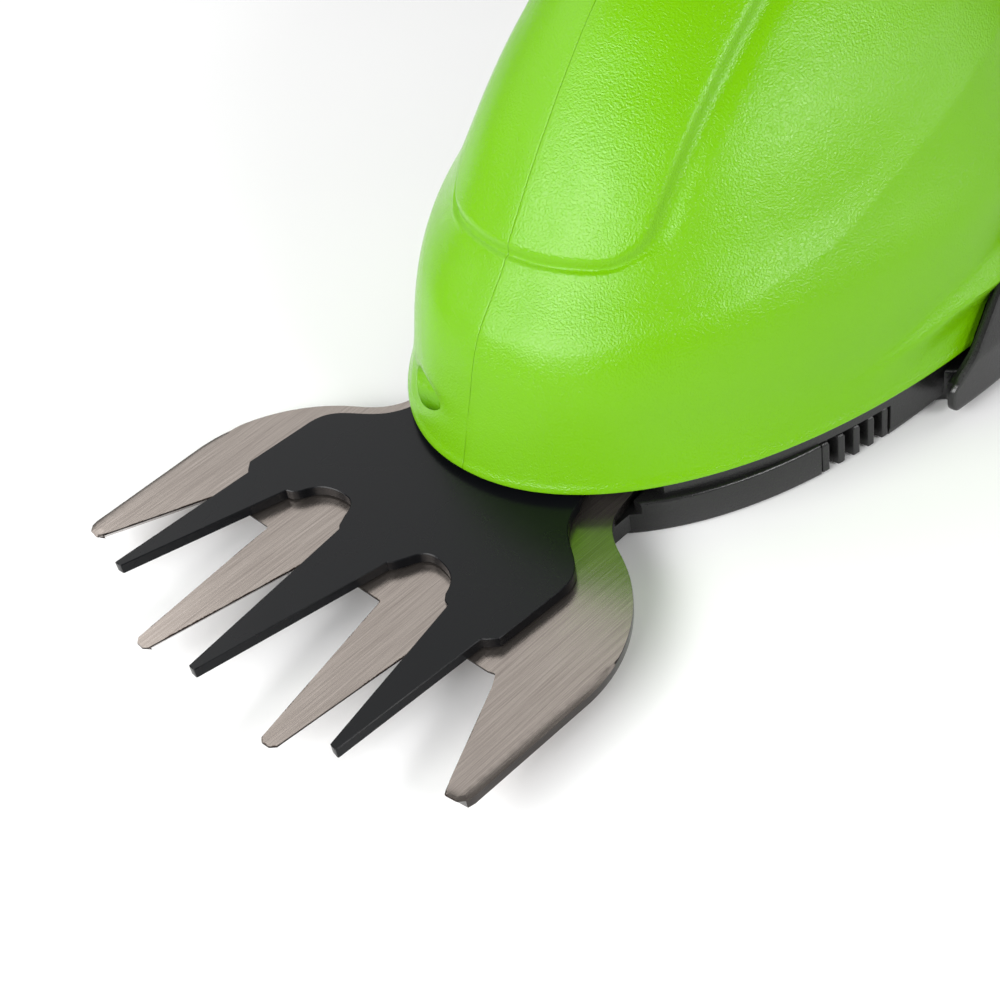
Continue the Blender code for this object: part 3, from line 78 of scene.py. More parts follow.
# The rear cowl, which stands proud of the nose and leans back as it rises
COWL_OFFSET = 3.6
COWL_BOTTOM_Z = 2.0
COWL_CORNER = 2.4
COWL_FRONT_Y = 52.0
COWL_EDGE_RUN = 1.19
COWL_BACK_Y = 104.0
SEAM_OVERLAP = 4.0     # how far the nose shell runs on under the cowl
# The tray, with the blades' seat and the bosses for the four pan screws
PAN_HALF_WIDTH = 49.5
PAN_LENGTH = 85.0
PAN_POWER = 2.3
PAN_FRONT_Y = -13.5
PAN_HEIGHT = 7.0
PAN_FLOOR = 2.0
PAN_WALL = 4.0
PAN_END_Y = 119.1
PAN_JOG_Y = 56.0
SEAT_HALF_WIDTH = 27.0
SEAT_END_Y = 17.0
SEAT_Z = 4.7
BOSS_X = 24.0
BOSS_Y = (35.5, 68.0)
BOSS_R = 3.5
BOSS_TOP_Z = 14.7
# Blades and release buttons
BLADE_T = 2.0
LOWER_BLADE_Z = 5.0
UPPER_BLADE_Z = 7.3
PIVOT_BORE_R = 3.3
YOKE_SCREW_X, YOKE_SCREW_Y = 11, 2
YOKE_BORE_R = 1.7
REST_ANGLE = -2.63     # the upper blade's place in the photograph, in degrees
BUTTON_Y = (28.0, 43.0)
BUTTON_DEPTH = 8.0
BUTTON_TRAVEL = 2.5
GROOVES = 4
GROOVE_W = 1.9
GROOVE_DEPTH = 2.0
# The handle loop: its centre line's corners, its bars and what sits in it
HANDLE_ROOT_Y = 96.0
COLUMN_Y = 237.0
UPPER_BEND = 30.0
LOWER_BEND = 24.0
BAR_Z = 15.0
HANDLE_POWER = 2.6
GRIP_Z = 85.0
GRIP_HALF_HEIGHT = 16.0
GRIP_TOP_Z = GRIP_Z + GRIP_HALF_HEIGHT
GRIP_COVER_Y = (158.0, 205.0)
GRIP_COVER_T = 1.2
TRIGGER_Y = 127.0
TRIGGER_Z = 77.0
TRIGGER_LENGTH = 26.0
TRIGGER_DROP = 19.0
TRIGGER_HALF_WIDTH = 5.0
LOCK_Y = 138.0
LOCK_HALF_LENGTH = 8.0
LOCK_HALF_WIDTH = 5.0
LOCK_STEM_HALF_WIDTH = 3.0
SOCKET_R = 4.0
SOCKET_Z = 36.0
LAMP_R = 2.0
LAMP_Z = 46.5
FOOT_Y = (196.0, 216.0)
FOOT_HALF_WIDTH = 8.0
# Screws: the housing's are given as y, z and the depth of the head under X = 0
SCREW_HEAD_R = 2.8
SCREW_R = 1.4
SCREW_HEAD_H = 1.5
PAN_SCREW_HEAD_H = 2.4
NOSE_SCREW = (-9.5, 17.5, 6.0)
REAR_SCREWS = [(112.0, 40.0, 11.0), (165.0, 15.0, 11.0), (236.0, 50.0, 11.0)]
OUTSIDE_X = 60.0       # a place well outside the body, for tools that cut in from its side


# Curves

def curve_through(points):
    """A smooth function through (x, y) points that never overshoots them, for arrays."""
    xs, ys = (np.array(v, float) for v in zip(*points))
    slopes = np.diff(ys) / np.diff(xs)
    tangents = np.concatenate([[slopes[0]], (slopes[:-1] + slopes[1:]) / 2, [slopes[-1]]])
    for i, slope in enumerate(slopes):
        for j in (i, i + 1):
            same_way = tangents[j] * slope > 0
            tangents[j] = math.copysign(min(abs(tangents[j]), 3 * abs(slope)), slope) if same_way else 0.0

    def value(x):
        x = np.clip(x, xs[0], xs[-1])
        i = np.clip(np.searchsorted(xs, x, side="right") - 1, 0, len(slopes) - 1)
        h = xs[i + 1] - xs[i]
        t = (x - xs[i]) / h
        return ((1 + 2 * t) * (1 - t) ** 2 * ys[i] + t * (1 - t) ** 2 * h * tangents[i]
                + t * t * (3 - 2 * t) * ys[i + 1] + t * t * (t - 1) * h * tangents[i + 1])
    return value


def ramp(low, high, x):
    """0 below low, 1 above high, and a smooth step between them."""
    t = np.clip((x - low) / (high - low), 0.0, 1.0)
    return t * t * (3 - 2 * t)


def spaced(run, count):
    """Even steps along a run, from its start to its end."""
    return np.linspace(0.0, run[-1], count)


def along(*columns):
    """The distance run along a line of points, from its first one."""
    steps = sum(np.diff(c) ** 2 for c in columns)
    return np.concatenate([[0.0], np.cumsum(np.sqrt(steps))])


# The housing's surface

PROFILE = curve_through([(RIM_Z, 0.0), (22.0, 4.1), (34.0, 9.0), (44.3, 17.6), (57.5, 27.6),
                         (68.0, 36.6), (80.0, 48.6), (89.5, 62.6), (95.5, 76.6), (98.0, 96.6)])
TAPER = curve_through([(RIM_Z, 1.0), (22.0, 0.957), (34.0, 0.955), (47.0, 0.897), (57.0, 0.85),
                       (69.0, 0.78), (80.0, 0.68), (90.0, 0.5), (96.0, 0.28), (98.0, 0.06)])


def body_height(z, offset):
    """The height on the plain body that a height on an offset surface follows."""
    return np.clip(z * BODY_TOP_Z / (BODY_TOP_Z + offset), RIM_Z, BODY_TOP_Z)


def front_y(z, offset=0.0):
    """Where the body's front edge is at a height."""
    return NOSE_FRONT_Y - offset + PROFILE(body_height(z, offset))


def half_width(z, y, offset=0.0):
    """Half the body's width at a height and a place, offset outside the nose shell."""
    length = NOSE_LENGTH + offset
    share = np.clip(y - front_y(z, offset), 0.0, length) / length
    plan = (1 - (1 - share) ** NOSE_POWER) ** (1 / NOSE_POWER)
    tail = np.maximum(y - TAIL_START_Y, 0.0) / (BODY_TAIL_Y + offset - TAIL_START_Y)
    end = np.sqrt(np.maximum(1 - tail ** TAIL_POWER, 0.0))
    return (NOSE_HALF_WIDTH + offset) * plan * TAPER(body_height(z, offset)) * end


def side_word(side):
    """The user's right is +X."""
    return "right" if side > 0 else "left"


def cowl_edge_y(z):
    """The rear cowl's front edge, which leans back as it rises."""
    return np.minimum(COWL_FRONT_Y + COWL_EDGE_RUN * np.maximum(z - PAN_HEIGHT, 0.0), COWL_BACK_Y)


def body_line(z, offset, y0, y1, places, from_tail=False):
    """x and y along one height of the body, at these shares of its length along the surface."""
    # the fine line has its points closest where the plan bends most, at the nose or at the tail
    t = np.linspace(0.0, 1.0, 500)
    t = 1 - (1 - t) ** 2.4 if from_tail else t ** 2.4
    y = y0 + (y1 - y0) * t
    x = half_width(z, y, offset)
    run = along(x, y)
    return np.interp(places * run[-1], run, x), np.interp(places * run[-1], run, y)


def normals_of(grid):
    """Unit normals of a grid of points, from its own rows and columns."""
    cross = np.cross(np.gradient(grid, axis=1), np.gradient(grid, axis=0))
    return cross / np.maximum(np.linalg.norm(cross, axis=-1, keepdims=True), 1e-9)


# Making meshes

def from_arrays(name, points, faces, sharp=30.0):
    """An object from points in millimetres, smooth but for edges sharper than the angle."""
    mesh = bpy.data.meshes.new(name)
    cells = [tuple(int(i) for i in f) for f in faces]
    mesh.from_pydata([tuple(p) for p in np.asarray(points) * MM], [], cells)
    obj = linked(name, mesh)
    tidy_faces(obj)
    smooth(obj, sharp)
    return obj


def linked(name, data):
    """A new object with this data, in the scene."""
    obj = bpy.data.objects.new(name, data)
    bpy.context.scene.collection.objects.link(obj)
    return obj


def tidy_faces(obj):
    """Merges doubles, drops empty faces and turns the rest outwards."""
    bm = bmesh.new()
    bm.from_mesh(obj.data)
    bmesh.ops.remove_doubles(bm, verts=bm.verts, dist=1e-6)
    bmesh.ops.dissolve_degenerate(bm, edges=bm.edges, dist=1e-7)
    bmesh.ops.recalc_face_normals(bm, faces=bm.faces)
    bm.to_mesh(obj.data)
    bm.free()


def smooth(obj, sharp=30.0):
    """Smooth shading, but for edges sharper than the angle."""
    obj.data.shade_smooth()
    obj.data.set_sharp_from_angle(angle=math.radians(sharp))


def wall_faces(rows, columns):
    """Faces of a closed wall between two grids, the second one's points following the first's."""
    index = np.arange(rows * columns).reshape(rows, columns)
    quads = np.stack([index[:-1, :-1], index[:-1, 1:], index[1:, 1:], index[1:, :-1]], -1).reshape(-1, 4)
    border = np.concatenate([index[0, :], index[1:, -1], index[-1, -2::-1], index[-2:0:-1, 0]])
    after = np.roll(border, -1)
    size = rows * columns
    sides = np.stack([after, border, border + size, after + size], 1)
    return np.concatenate([quads, quads[:, ::-1] + size, sides])


def wall(name, outer, inner, side=1, sharp=30.0):
    """A closed wall between an outer and an inner grid, on the right (1) or left (-1)."""
    points = np.concatenate([outer.reshape(-1, 3), inner.reshape(-1, 3)]) * [side, 1, 1]
    return from_arrays(name, points, wall_faces(*outer.shape[:2]), sharp=sharp)


def ring_quads(index):
    """Faces between rows of closed rings, given by their points' numbers."""
    nxt = np.roll(index, -1, axis=1)
    return np.stack([index[:-1], nxt[:-1], nxt[1:], index[1:]], -1).reshape(-1, 4)


def tube_faces(rows, count):
    """Faces round closed rings of points, with a cap at both ends."""
    index = np.arange(rows * count).reshape(rows, count)
    return ring_quads(index).tolist() + [index[0, ::-1].tolist(), index[-1].tolist()]


def boolean(obj, other, operation="DIFFERENCE"):
    """Cuts or joins another object into obj for good, and removes the other."""
    mod = obj.modifiers.new("shape", "BOOLEAN")
    mod.operation = operation
    mod.solver = "EXACT"
    mod.object = other
    bpy.context.view_layer.update()
    bake_modifiers(obj)
    bpy.data.objects.remove(other, do_unlink=True)
    return obj


def bake_modifiers(obj):
    """Turns what the modifiers make into the object's own plain mesh."""
    made = bpy.data.meshes.new_from_object(obj.evaluated_get(bpy.context.evaluated_depsgraph_get()))
    obj.modifiers.clear()
    obj.data = made


def joined(name, objects):
    """One object from several closed ones."""
    bm = bmesh.new()
    for obj in objects:
        bm.from_mesh(obj.data)
        bpy.data.objects.remove(obj, do_unlink=True)
    mesh = bpy.data.meshes.new(name)
    bm.to_mesh(mesh)
    bm.free()
    return linked(name, mesh)


def rod(name, start, end, radius, sides=48):
    """A round bar between two points."""
    a, b = Vector(start), Vector(end)
    turn = (b - a).to_track_quat("Z", "Y").to_matrix()
    points = [centre + turn @ Vector((radius * c, radius * s, 0))
              for centre in (a, b) for c, s in circle(0, 0, 1, sides)]
    return from_arrays(name, np.array([tuple(p) for p in points]), tube_faces(2, sides))


def block(name, low, high):
    """A box between two corners."""
    corners = rectangle(low[0], high[0], low[1], high[1])
    points = [(x, y, z) for z in (low[2], high[2]) for x, y in corners]
    return from_arrays(name, np.array(points, float), tube_faces(2, 4))


def bezier(p0, p1, p2, p3, steps):
    """Points of a cubic curve, without its last one."""
    t = np.arange(steps)[:, None] / steps
    points = [np.array(p, float) for p in (p0, p1, p2, p3)]
    out = ((1 - t) ** 3 * points[0] + 3 * t * (1 - t) ** 2 * points[1]
           + 3 * t * t * (1 - t) * points[2] + t ** 3 * points[3])
    return [tuple(p) for p in out]


def rectangle(x0, x1, y0, y1):
    """An upright rectangle's outline, anticlockwise."""
    return [(x0, y0), (x1, y0), (x1, y1), (x0, y1)]


def circle(cx, cy, r, steps=48):
    """A circle's outline, anticlockwise."""
    turn = [2 * math.pi * i / steps for i in range(steps)]
    return [(cx + r * math.cos(a), cy + r * math.sin(a)) for a in turn]


def rounded(outline, radius, steps=4, keep=20.0):
    """Rounds an outline's corners that turn by more than the kept angle."""
    out = []
    count = len(outline)
    for i in range(count):
        a, b, c = (Vector(outline[j % count]) for j in (i - 1, i, i + 1))
        u, v = a - b, c - b
        if u.length < 1e-6 or v.length < 1e-6:
            continue
        turn = math.pi - u.angle(v, 0.0)
        r = radius(b) if callable(radius) else radius
        if math.degrees(turn) < keep or r <= 0:
            out.append(tuple(b))
            continue
        cut = min(r * math.tan(turn / 2), 0.45 * u.length, 0.45 * v.length)
        start, end = b + u.normalized() * cut, b + v.normalized() * cut
        for k in range(steps + 1):
            t = k / steps
            out.append(tuple((1 - t) ** 2 * start + 2 * t * (1 - t) * b + t * t * end))
    return out


def area_of(outline):
    """An outline's area, negative if it runs clockwise."""
    return sum(a[0] * b[1] - b[0] * a[1] for a, b in zip(outline, outline[1:] + outline[:1])) / 2


def inset(loop, distance):
    """A loop moved to its left by a distance, or by one for each point."""
    p = np.array(loop, float)
    before, after = p - np.roll(p, 1, 0), np.roll(p, -1, 0) - p
    before /= np.maximum(np.linalg.norm(before, axis=1, keepdims=True), 1e-9)
    after /= np.maximum(np.linalg.norm(after, axis=1, keepdims=True), 1e-9)
    left = np.stack([-before[:, 1], before[:, 0]], 1) + np.stack([-after[:, 1], after[:, 0]], 1)
    size = np.maximum((left ** 2).sum(1, keepdims=True) / 2, 0.35)
    return p + left / size * np.reshape(distance, (-1, 1))


def inside(points, loops):
    """True for points inside the loops, by the even-odd rule."""
    hit = np.zeros(len(points), bool)
    for loop in loops:
        p = np.array(loop)
        q = np.roll(p, -1, 0)
        for (x0, y0), (x1, y1) in zip(p, q):
            if y0 == y1:
                continue
            crosses = (y0 > points[:, 1]) != (y1 > points[:, 1])
            at = x0 + (points[:, 1] - y0) * (x1 - x0) / (y1 - y0)
            hit ^= crosses & (points[:, 0] < at)
    return hit


def filled(loops, grid=0.0):
    """Triangles that fill flat loops, with extra points inside on a grid if it is given."""
    points = [Vector(p) for loop in loops for p in loop]
    edges, start = [], 0
    for loop in loops:
        edges += [(start + i, start + (i + 1) % len(loop)) for i in range(len(loop))]
        start += len(loop)
    if grid:
        flat = np.array([tuple(p) for p in points])
        xs = np.arange(flat[:, 0].min(), flat[:, 0].max(), grid)
        ys = np.arange(flat[:, 1].min(), flat[:, 1].max(), grid)
        extra = np.array([(x + (j % 2) * grid / 2, y) for j, y in enumerate(ys) for x in xs])
        extra = extra[inside(extra, loops)]
        near = np.sqrt(((extra[:, None] - flat[None]) ** 2).sum(-1)).min(1)
        points += [Vector(p) for p in extra[near > 0.6 * grid]]
    verts, _, faces, _, _, _ = delaunay_2d_cdt(points, edges, [], 0, 1e-7)
    flat = np.array([tuple(v) for v in verts])
    faces = np.array(faces)
    return flat, faces[inside(flat[faces].mean(1), loops)]


def slab(name, outlines, levels, grid=0.0, matrix=None, sharp=30.0):
    """A flat piece through levels of (height, inset), low to high: one outline, then its holes.

    An inset is a number, or a function that gives one for each of an outline's points."""
    loops = []
    for i, loop in enumerate(outlines):
        clockwise = area_of(loop) < 0
        loops.append(list(loop) if clockwise == (i > 0) else list(loop)[::-1])
    points, faces, start = [], [], 0

    def moved(loop, by):
        return inset(loop, by(np.array(loop)) if callable(by) else by)

    for loop in loops:
        rings = [np.column_stack([moved(loop, by), np.full(len(loop), z)]) for z, by in levels]
        points.append(np.concatenate(rings))
        index = np.arange(len(levels) * len(loop)).reshape(len(levels), len(loop)) + start
        faces += ring_quads(index).tolist()
        start += index.size
    for (z, by), up in ((levels[0], False), (levels[-1], True)):
        flat, cells = filled([[tuple(p) for p in moved(loop, by)] for loop in loops], grid)
        points.append(np.column_stack([flat, np.full(len(flat), z)]))
        cells = cells + start
        faces += (cells if up else cells[:, ::-1]).tolist()
        start += len(flat)
    points = np.concatenate(points)
    if matrix is not None:
        points = np.array([tuple(matrix @ Vector(p)) for p in points])
    return from_arrays(name, points, faces, sharp=sharp)


def edge_levels(z0, z1, low, high):
    """Levels for a slab whose edges are rounded by these radii, below and above."""
    quarter = [math.pi / 2 * k / 3 for k in range(4)]
    out = [(z0 + low * (1 - math.cos(a)), low * (1 - math.sin(a))) for a in quarter]
    return out + [(z1 - high * (1 - math.cos(a)), high * (1 - math.sin(a))) for a in quarter[::-1]]


# The frame for flat pieces that are drawn in Y and Z, with their thickness along X
SIDE_FRAME = Matrix(((0, 0, 1, 0), (1, 0, 0, 0), (0, 1, 0, 0), (0, 0, 0, 1)))


# Materials

def paint(code):
    """An sRGB hex colour as linear RGBA."""
    parts = [int(code[i:i + 2], 16) / 255 for i in (0, 2, 4)]
    return [p / 12.92 if p <= 0.04045 else ((p + 0.055) / 1.055) ** 2.4 for p in parts] + [1.0]


def node(tree, kind, settings=None, sockets=None, links=None):
    """Adds one node with its settings, its sockets' values and its links."""
    made = tree.nodes.new(kind)
    for name, value in (settings or {}).items():
        setattr(made, name, value)
    for name, value in (sockets or {}).items():
        made.inputs[name].default_value = value
    for name, source in (links or {}).items():
        tree.links.new(source, made.inputs[name])
    return made


def material(name, sockets):
    """A material whose shader has these values, with its tree, shader and object coordinates."""
    mat = bpy.data.materials.new(name)
    mat.use_nodes = True
    tree = mat.node_tree
    shader = tree.nodes["Principled BSDF"]
    for socket, value in sockets.items():
        shader.inputs[socket].default_value = value
    coords = node(tree, "ShaderNodeTexCoord").outputs["Object"]
    return mat, tree, shader, coords


def noise(tree, at, scale, detail, **more):
    """A noise texture's value at these coordinates."""
    sockets = {"Scale": scale, "Detail": detail, **more}
    return node(tree, "ShaderNodeTexNoise", None, sockets, {"Vector": at}).outputs["Fac"]


def streaks(tree, coords, scale, detail, turn=0.0, **more):
    """Noise with its own scales across and along Y, turned by an angle."""
    across, lengthways = scale
    at = node(tree, "ShaderNodeMapping", None,
              {"Rotation": (0, 0, turn), "Scale": (across, lengthways, across)}, {"Vector": coords})
    return noise(tree, at.outputs["Vector"], 1.0, detail, **more)


def mapped(tree, value, low, high, to_low=0.0, to_high=1.0):
    """A value that goes from to_low to to_high as the given one goes from low to high."""
    sockets = {"From Min": low, "From Max": high, "To Min": to_low, "To Max": to_high}
    return node(tree, "ShaderNodeMapRange", None, sockets, {"Value": value}).outputs["Result"]


def maths(tree, operation, *values):
    """A maths node's result, from numbers and other nodes' results."""
    made = node(tree, "ShaderNodeMath", {"operation": operation})
    for socket, value in zip(made.inputs, values):
        if isinstance(value, float):
            socket.default_value = value
        else:
            tree.links.new(value, socket)
    return made.outputs["Value"]


def tinted(tree, under, code, share):
    """A colour that goes over to another one as the share goes from 0 to 1."""
    mixed = node(tree, "ShaderNodeMix", {"data_type": "RGBA"}, {"B": paint(code)},
                 {"Factor": share, "A": under})
    return mixed.outputs["Result"]


def colour_mix(tree, shader, share, low, high):
    """The shader's colour, from low to high as the share goes from 0 to 1."""
    mixed = node(tree, "ShaderNodeMix", {"data_type": "RGBA"}, {"A": paint(low), "B": paint(high)},
                 {"Factor": share})
    tree.links.new(mixed.outputs["Result"], shader.inputs["Base Color"])
    return mixed.outputs["Result"]


def surface(tree, shader, height, strength, depth, shine, rough, span=(0.0, 1.0)):
    """Bumps the shader by a height, and spreads its roughness over a range by another value."""
    bump = node(tree, "ShaderNodeBump", None, {"Strength": strength, "Distance": depth}, {"Height": height})
    tree.links.new(bump.outputs["Normal"], shader.inputs["Normal"])
    tree.links.new(mapped(tree, shine, *span, *rough), shader.inputs["Roughness"])


def grained(name, sockets, low, high, grain_mm, height_mm, rough):
    """A moulded plastic: spark-eroded grain, cloudy colour and gloss that varies a little."""
    mat, tree, shader, coords = material(name, sockets)
    # clouds of pigment about 22 mm across
    colour_mix(tree, shader, noise(tree, coords, 45.0, 2.0), low, high)
    # pebbles one grain wide, and a finer break-up on top of them
    pebbles = noise(tree, coords, 1000.0 / grain_mm, 1.0, Distortion=0.3)
    fine = noise(tree, coords, 2300.0 / grain_mm, 1.0)
    height = maths(tree, "MULTIPLY_ADD", fine, 0.3, pebbles)
    surface(tree, shader, height, 1.0, height_mm * MM, fine, rough)
    return mat


# Lime ABS with a spark-eroded grain: the pebbles break the soft highlights into sparkle
LIME_ABS = grained("lime_abs_grained", {"IOR": 1.54, "Specular IOR Level": 0.31}, "6AAA00", "6EAF00",
                   0.38, 0.1, (0.19, 0.25))
# Black glass-filled nylon: satin, slightly grey, with a fine even grain
BLACK_NYLON = grained("black_nylon_moulded", {"IOR": 1.53, "Specular IOR Level": 0.5}, "131313", "181818",
                      0.4, 0.03, (0.24, 0.34))
# Soft-touch elastomer: dull and dark, it takes nearly no highlight
SOFT_RUBBER = grained("soft_touch_rubber", {"IOR": 1.5, "Specular IOR Level": 0.35}, "141414", "1A1A1A",
                      0.5, 0.05, (0.68, 0.85))
# Red ABS controls: satin with a fine grain
RED_ABS = grained("red_abs_moulded", {"IOR": 1.54, "Specular IOR Level": 0.45}, "B51E14", "BE2418",
                  0.5, 0.03, (0.36, 0.48))
# Natural nylon gears: milky, faintly waxy
GEAR_NYLON = grained("natural_nylon_gear", {"IOR": 1.53, "Subsurface Weight": 0.1,
                     "Subsurface Radius": (0.002, 0.002, 0.0015)}, "D8D2BF", "E0DBCB", 0.6, 0.02, (0.35, 0.5))
# Grey moulded parts inside: plain and matt
GREY_PLASTIC = grained("grey_abs_moulded", {"IOR": 1.54}, "4A4C4E", "525456", 0.6, 0.03, (0.45, 0.6))
# Wire insulation: soft PVC
WIRE_PVC = grained("red_wire_pvc", {"IOR": 1.52}, "A8160F", "B21C14", 0.6, 0.01, (0.4, 0.5))
# Printed circuit board: solder resist over glass cloth
BOARD = grained("board_solder_resist", {"IOR": 1.5, "Coat Weight": 0.4}, "0C4A26", "11552E",
                0.7, 0.01, (0.3, 0.4))
# Cell sleeve: shrunk PET film, tight and glossy
CELL_FILM = grained("cell_shrink_film", {"IOR": 1.57, "Coat Weight": 0.5}, "1B5C9B", "2064A6",
                    1.2, 0.02, (0.25, 0.35))
# Lamp lens: clear tinted acrylic
LAMP_LENS = grained("lamp_green_acrylic", {"IOR": 1.49, "Transmission Weight": 0.5}, "37C84E", "45D45B",
                    1.0, 0.005, (0.12, 0.2))


def brushed(name, low, high, across_mm, along_mm, rough, metallic, wear_and_shade=None):
    """A steel surface with grinding marks that run along Y."""
    mat, tree, shader, coords = material(name, {"Metallic": metallic})
    # the marks are as wide and as long as given, and broader streaks 3 times as wide and 5 times as long
    marks = streaks(tree, coords, (1000 / across_mm, 1000 / along_mm), 4.0, Roughness=0.65)
    broad = streaks(tree, coords, (300 / across_mm, 200 / along_mm), 2.0)
    share = mapped(tree, maths(tree, "MULTIPLY_ADD", broad, 0.3, marks), 0.35, 0.95)
    plain = colour_mix(tree, shader, share, low, high)
    surface(tree, shader, marks, 0.5, 0.00002, marks, rough, (0.3, 0.7))
    # nicks and stains, and painted shade on the side walls, where they are given
    if wear_and_shade:
        wear_and_shade(tree, shader, coords, plain)
    return mat


def burr_wear_and_wall_shade(tree, shader, coords, plain):
    """Dark nicks and brown stains in a few places on the cutting edges, from the edge distance, and painted
    shade that darkens the upright side walls.
    """
    edge, side = (node(tree, "ShaderNodeAttribute", {"attribute_name": name}).outputs["Fac"]
                  for name in ("edge_mm", "side_wall_shade"))
    # nicks about a third of a millimetre across, in patches about 8 mm long
    specks = noise(tree, coords, 2800.0, 2.0, Roughness=0.6)
    patches = mapped(tree, noise(tree, coords, 120.0, 1.0), 0.44, 0.56)
    both = maths(tree, "MULTIPLY", patches, mapped(tree, edge, 0.42, 0.05))
    strong = maths(tree, "MULTIPLY", both, specks)
    worn = tinted(tree, plain, "3B2C22", mapped(tree, strong, 0.28, 0.42))
    # painted shade: the upright side walls are tinted dark instead of showing the floor's light that they
    # reflect
    tree.links.new(tinted(tree, worn, "2A2726", side), shader.inputs["Base Color"])


# Ground carbon steel: warm grey, with marks that run along the teeth, nicks on the edges and painted shade on
# the side walls
GROUND_STEEL = brushed("ground_carbon_steel", "7A716B", "ADA49D", 0.16, 12.0, (0.18, 0.27), 0.9, burr_wear_and_wall_shade)
# Bright zinc plate: pins, screws, springs and the motor can
ZINC = brushed("zinc_plated_steel", "8E9094", "B9BBBF", 0.5, 1.5, (0.25, 0.4), 1.0)


def coated_steel():
    """Black non-stick coating on steel: satin, bluish, with faint scratches and orange peel."""
    mat, tree, shader, coords = material("black_coated_steel", {"IOR": 1.5, "Specular IOR Level": 0.2})
    # clouds 14 mm across, rub marks 0.4 mm wide and 17 mm long, and orange peel of 0.6 mm
    cloud = noise(tree, coords, 70.0, 3.0)
    colour_mix(tree, shader, cloud, "0A0B0D", "0F1013")
    scratches = streaks(tree, coords, (2500, 60), 2.0, turn=0.9)
    height = maths(tree, "MULTIPLY_ADD", scratches, 0.5, noise(tree, coords, 1600.0, 1.0))
    surface(tree, shader, height, 0.35, 0.00002, cloud, (0.2, 0.34))
    return mat


COATED_STEEL = coated_steel()

# The finish of each material slot in the record
SLOT_FINISH = {
    "zinc_steel": ZINC, "gear_nylon": GEAR_NYLON, "grey_plastic": GREY_PLASTIC, "cell_wrap": CELL_FILM,
    "board_green": BOARD, "lamp": LAMP_LENS, "wire_red": WIRE_PVC, "black_shell": BLACK_NYLON,
    "green_shell": LIME_ABS, "soft_grip": SOFT_RUBBER, "ground_steel": GROUND_STEEL,
    "coated_steel": COATED_STEEL, "clutch_red": RED_ABS}


def dress(obj, body, slot, *nodes):
    """Gives a finished piece its slot's finish, its body and the parts that it stands for."""
    obj.data.materials.clear()
    obj.data.materials.append(SLOT_FINISH[slot])
    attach(obj, body)
    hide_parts(*nodes)


def dress_joined(name, pieces, sharp, body, slot, *nodes):
    """Joins closed pieces into one, smooth but for edges sharper than the angle, and dresses it."""
    obj = joined(name, pieces)
    smooth(obj, sharp)
    dress(obj, body, slot, *nodes)


# Geometry Nodes for what repeats

def tree_with(name, inputs):
    """An empty tree with a geometry socket at both ends and these named inputs."""
    tree = bpy.data.node_groups.new(name, "GeometryNodeTree")
    for key, kind in {"Geometry": "Geometry", **inputs}.items():
        tree.interface.new_socket(key, in_out="INPUT", socket_type="NodeSocket" + kind)
    tree.interface.new_socket("Geometry", in_out="OUTPUT", socket_type="NodeSocketGeometry")
    return tree, node(tree, "NodeGroupInput").outputs


def finish_tree(tree, points, instance, finish, turn=None):
    """Ends a tree: the instance at each point, turned where that is given, made real and painted."""
    links = {"Points": points, "Instance": instance}
    if turn is not None:
        links["Rotation"] = turn
    placed = node(tree, "GeometryNodeInstanceOnPoints", None, None, links)
    real = node(tree, "GeometryNodeRealizeInstances", None, None, {"Geometry": placed.outputs[0]})
    painted = node(tree, "GeometryNodeSetMaterial", None, None,
                   {"Geometry": real.outputs[0], "Material": finish})
    node(tree, "NodeGroupOutput", None, None, {"Geometry": painted.outputs[0]})
    return tree


def round_bar(tree, curve, radius, sides):
    """A curve with a round section, closed at its ends."""
    ring = node(tree, "GeometryNodeCurvePrimitiveCircle", None, {"Resolution": sides}, {"Radius": radius})
    return node(tree, "GeometryNodeCurveToMesh", None, {"Fill Caps": True},
                {"Curve": curve, "Profile Curve": ring.outputs[0]}).outputs[0]


CROWN_H = 0.45         # height of the head's sloped crown
CROWN_SHARE = 0.82     # the crown's top against the head's radius
TIP_SHARE = 0.7        # the shank's tip against its radius
CROSS_LENGTH, CROSS_WIDTH, CROSS_DEPTH = 3.3, 0.85, 1.0


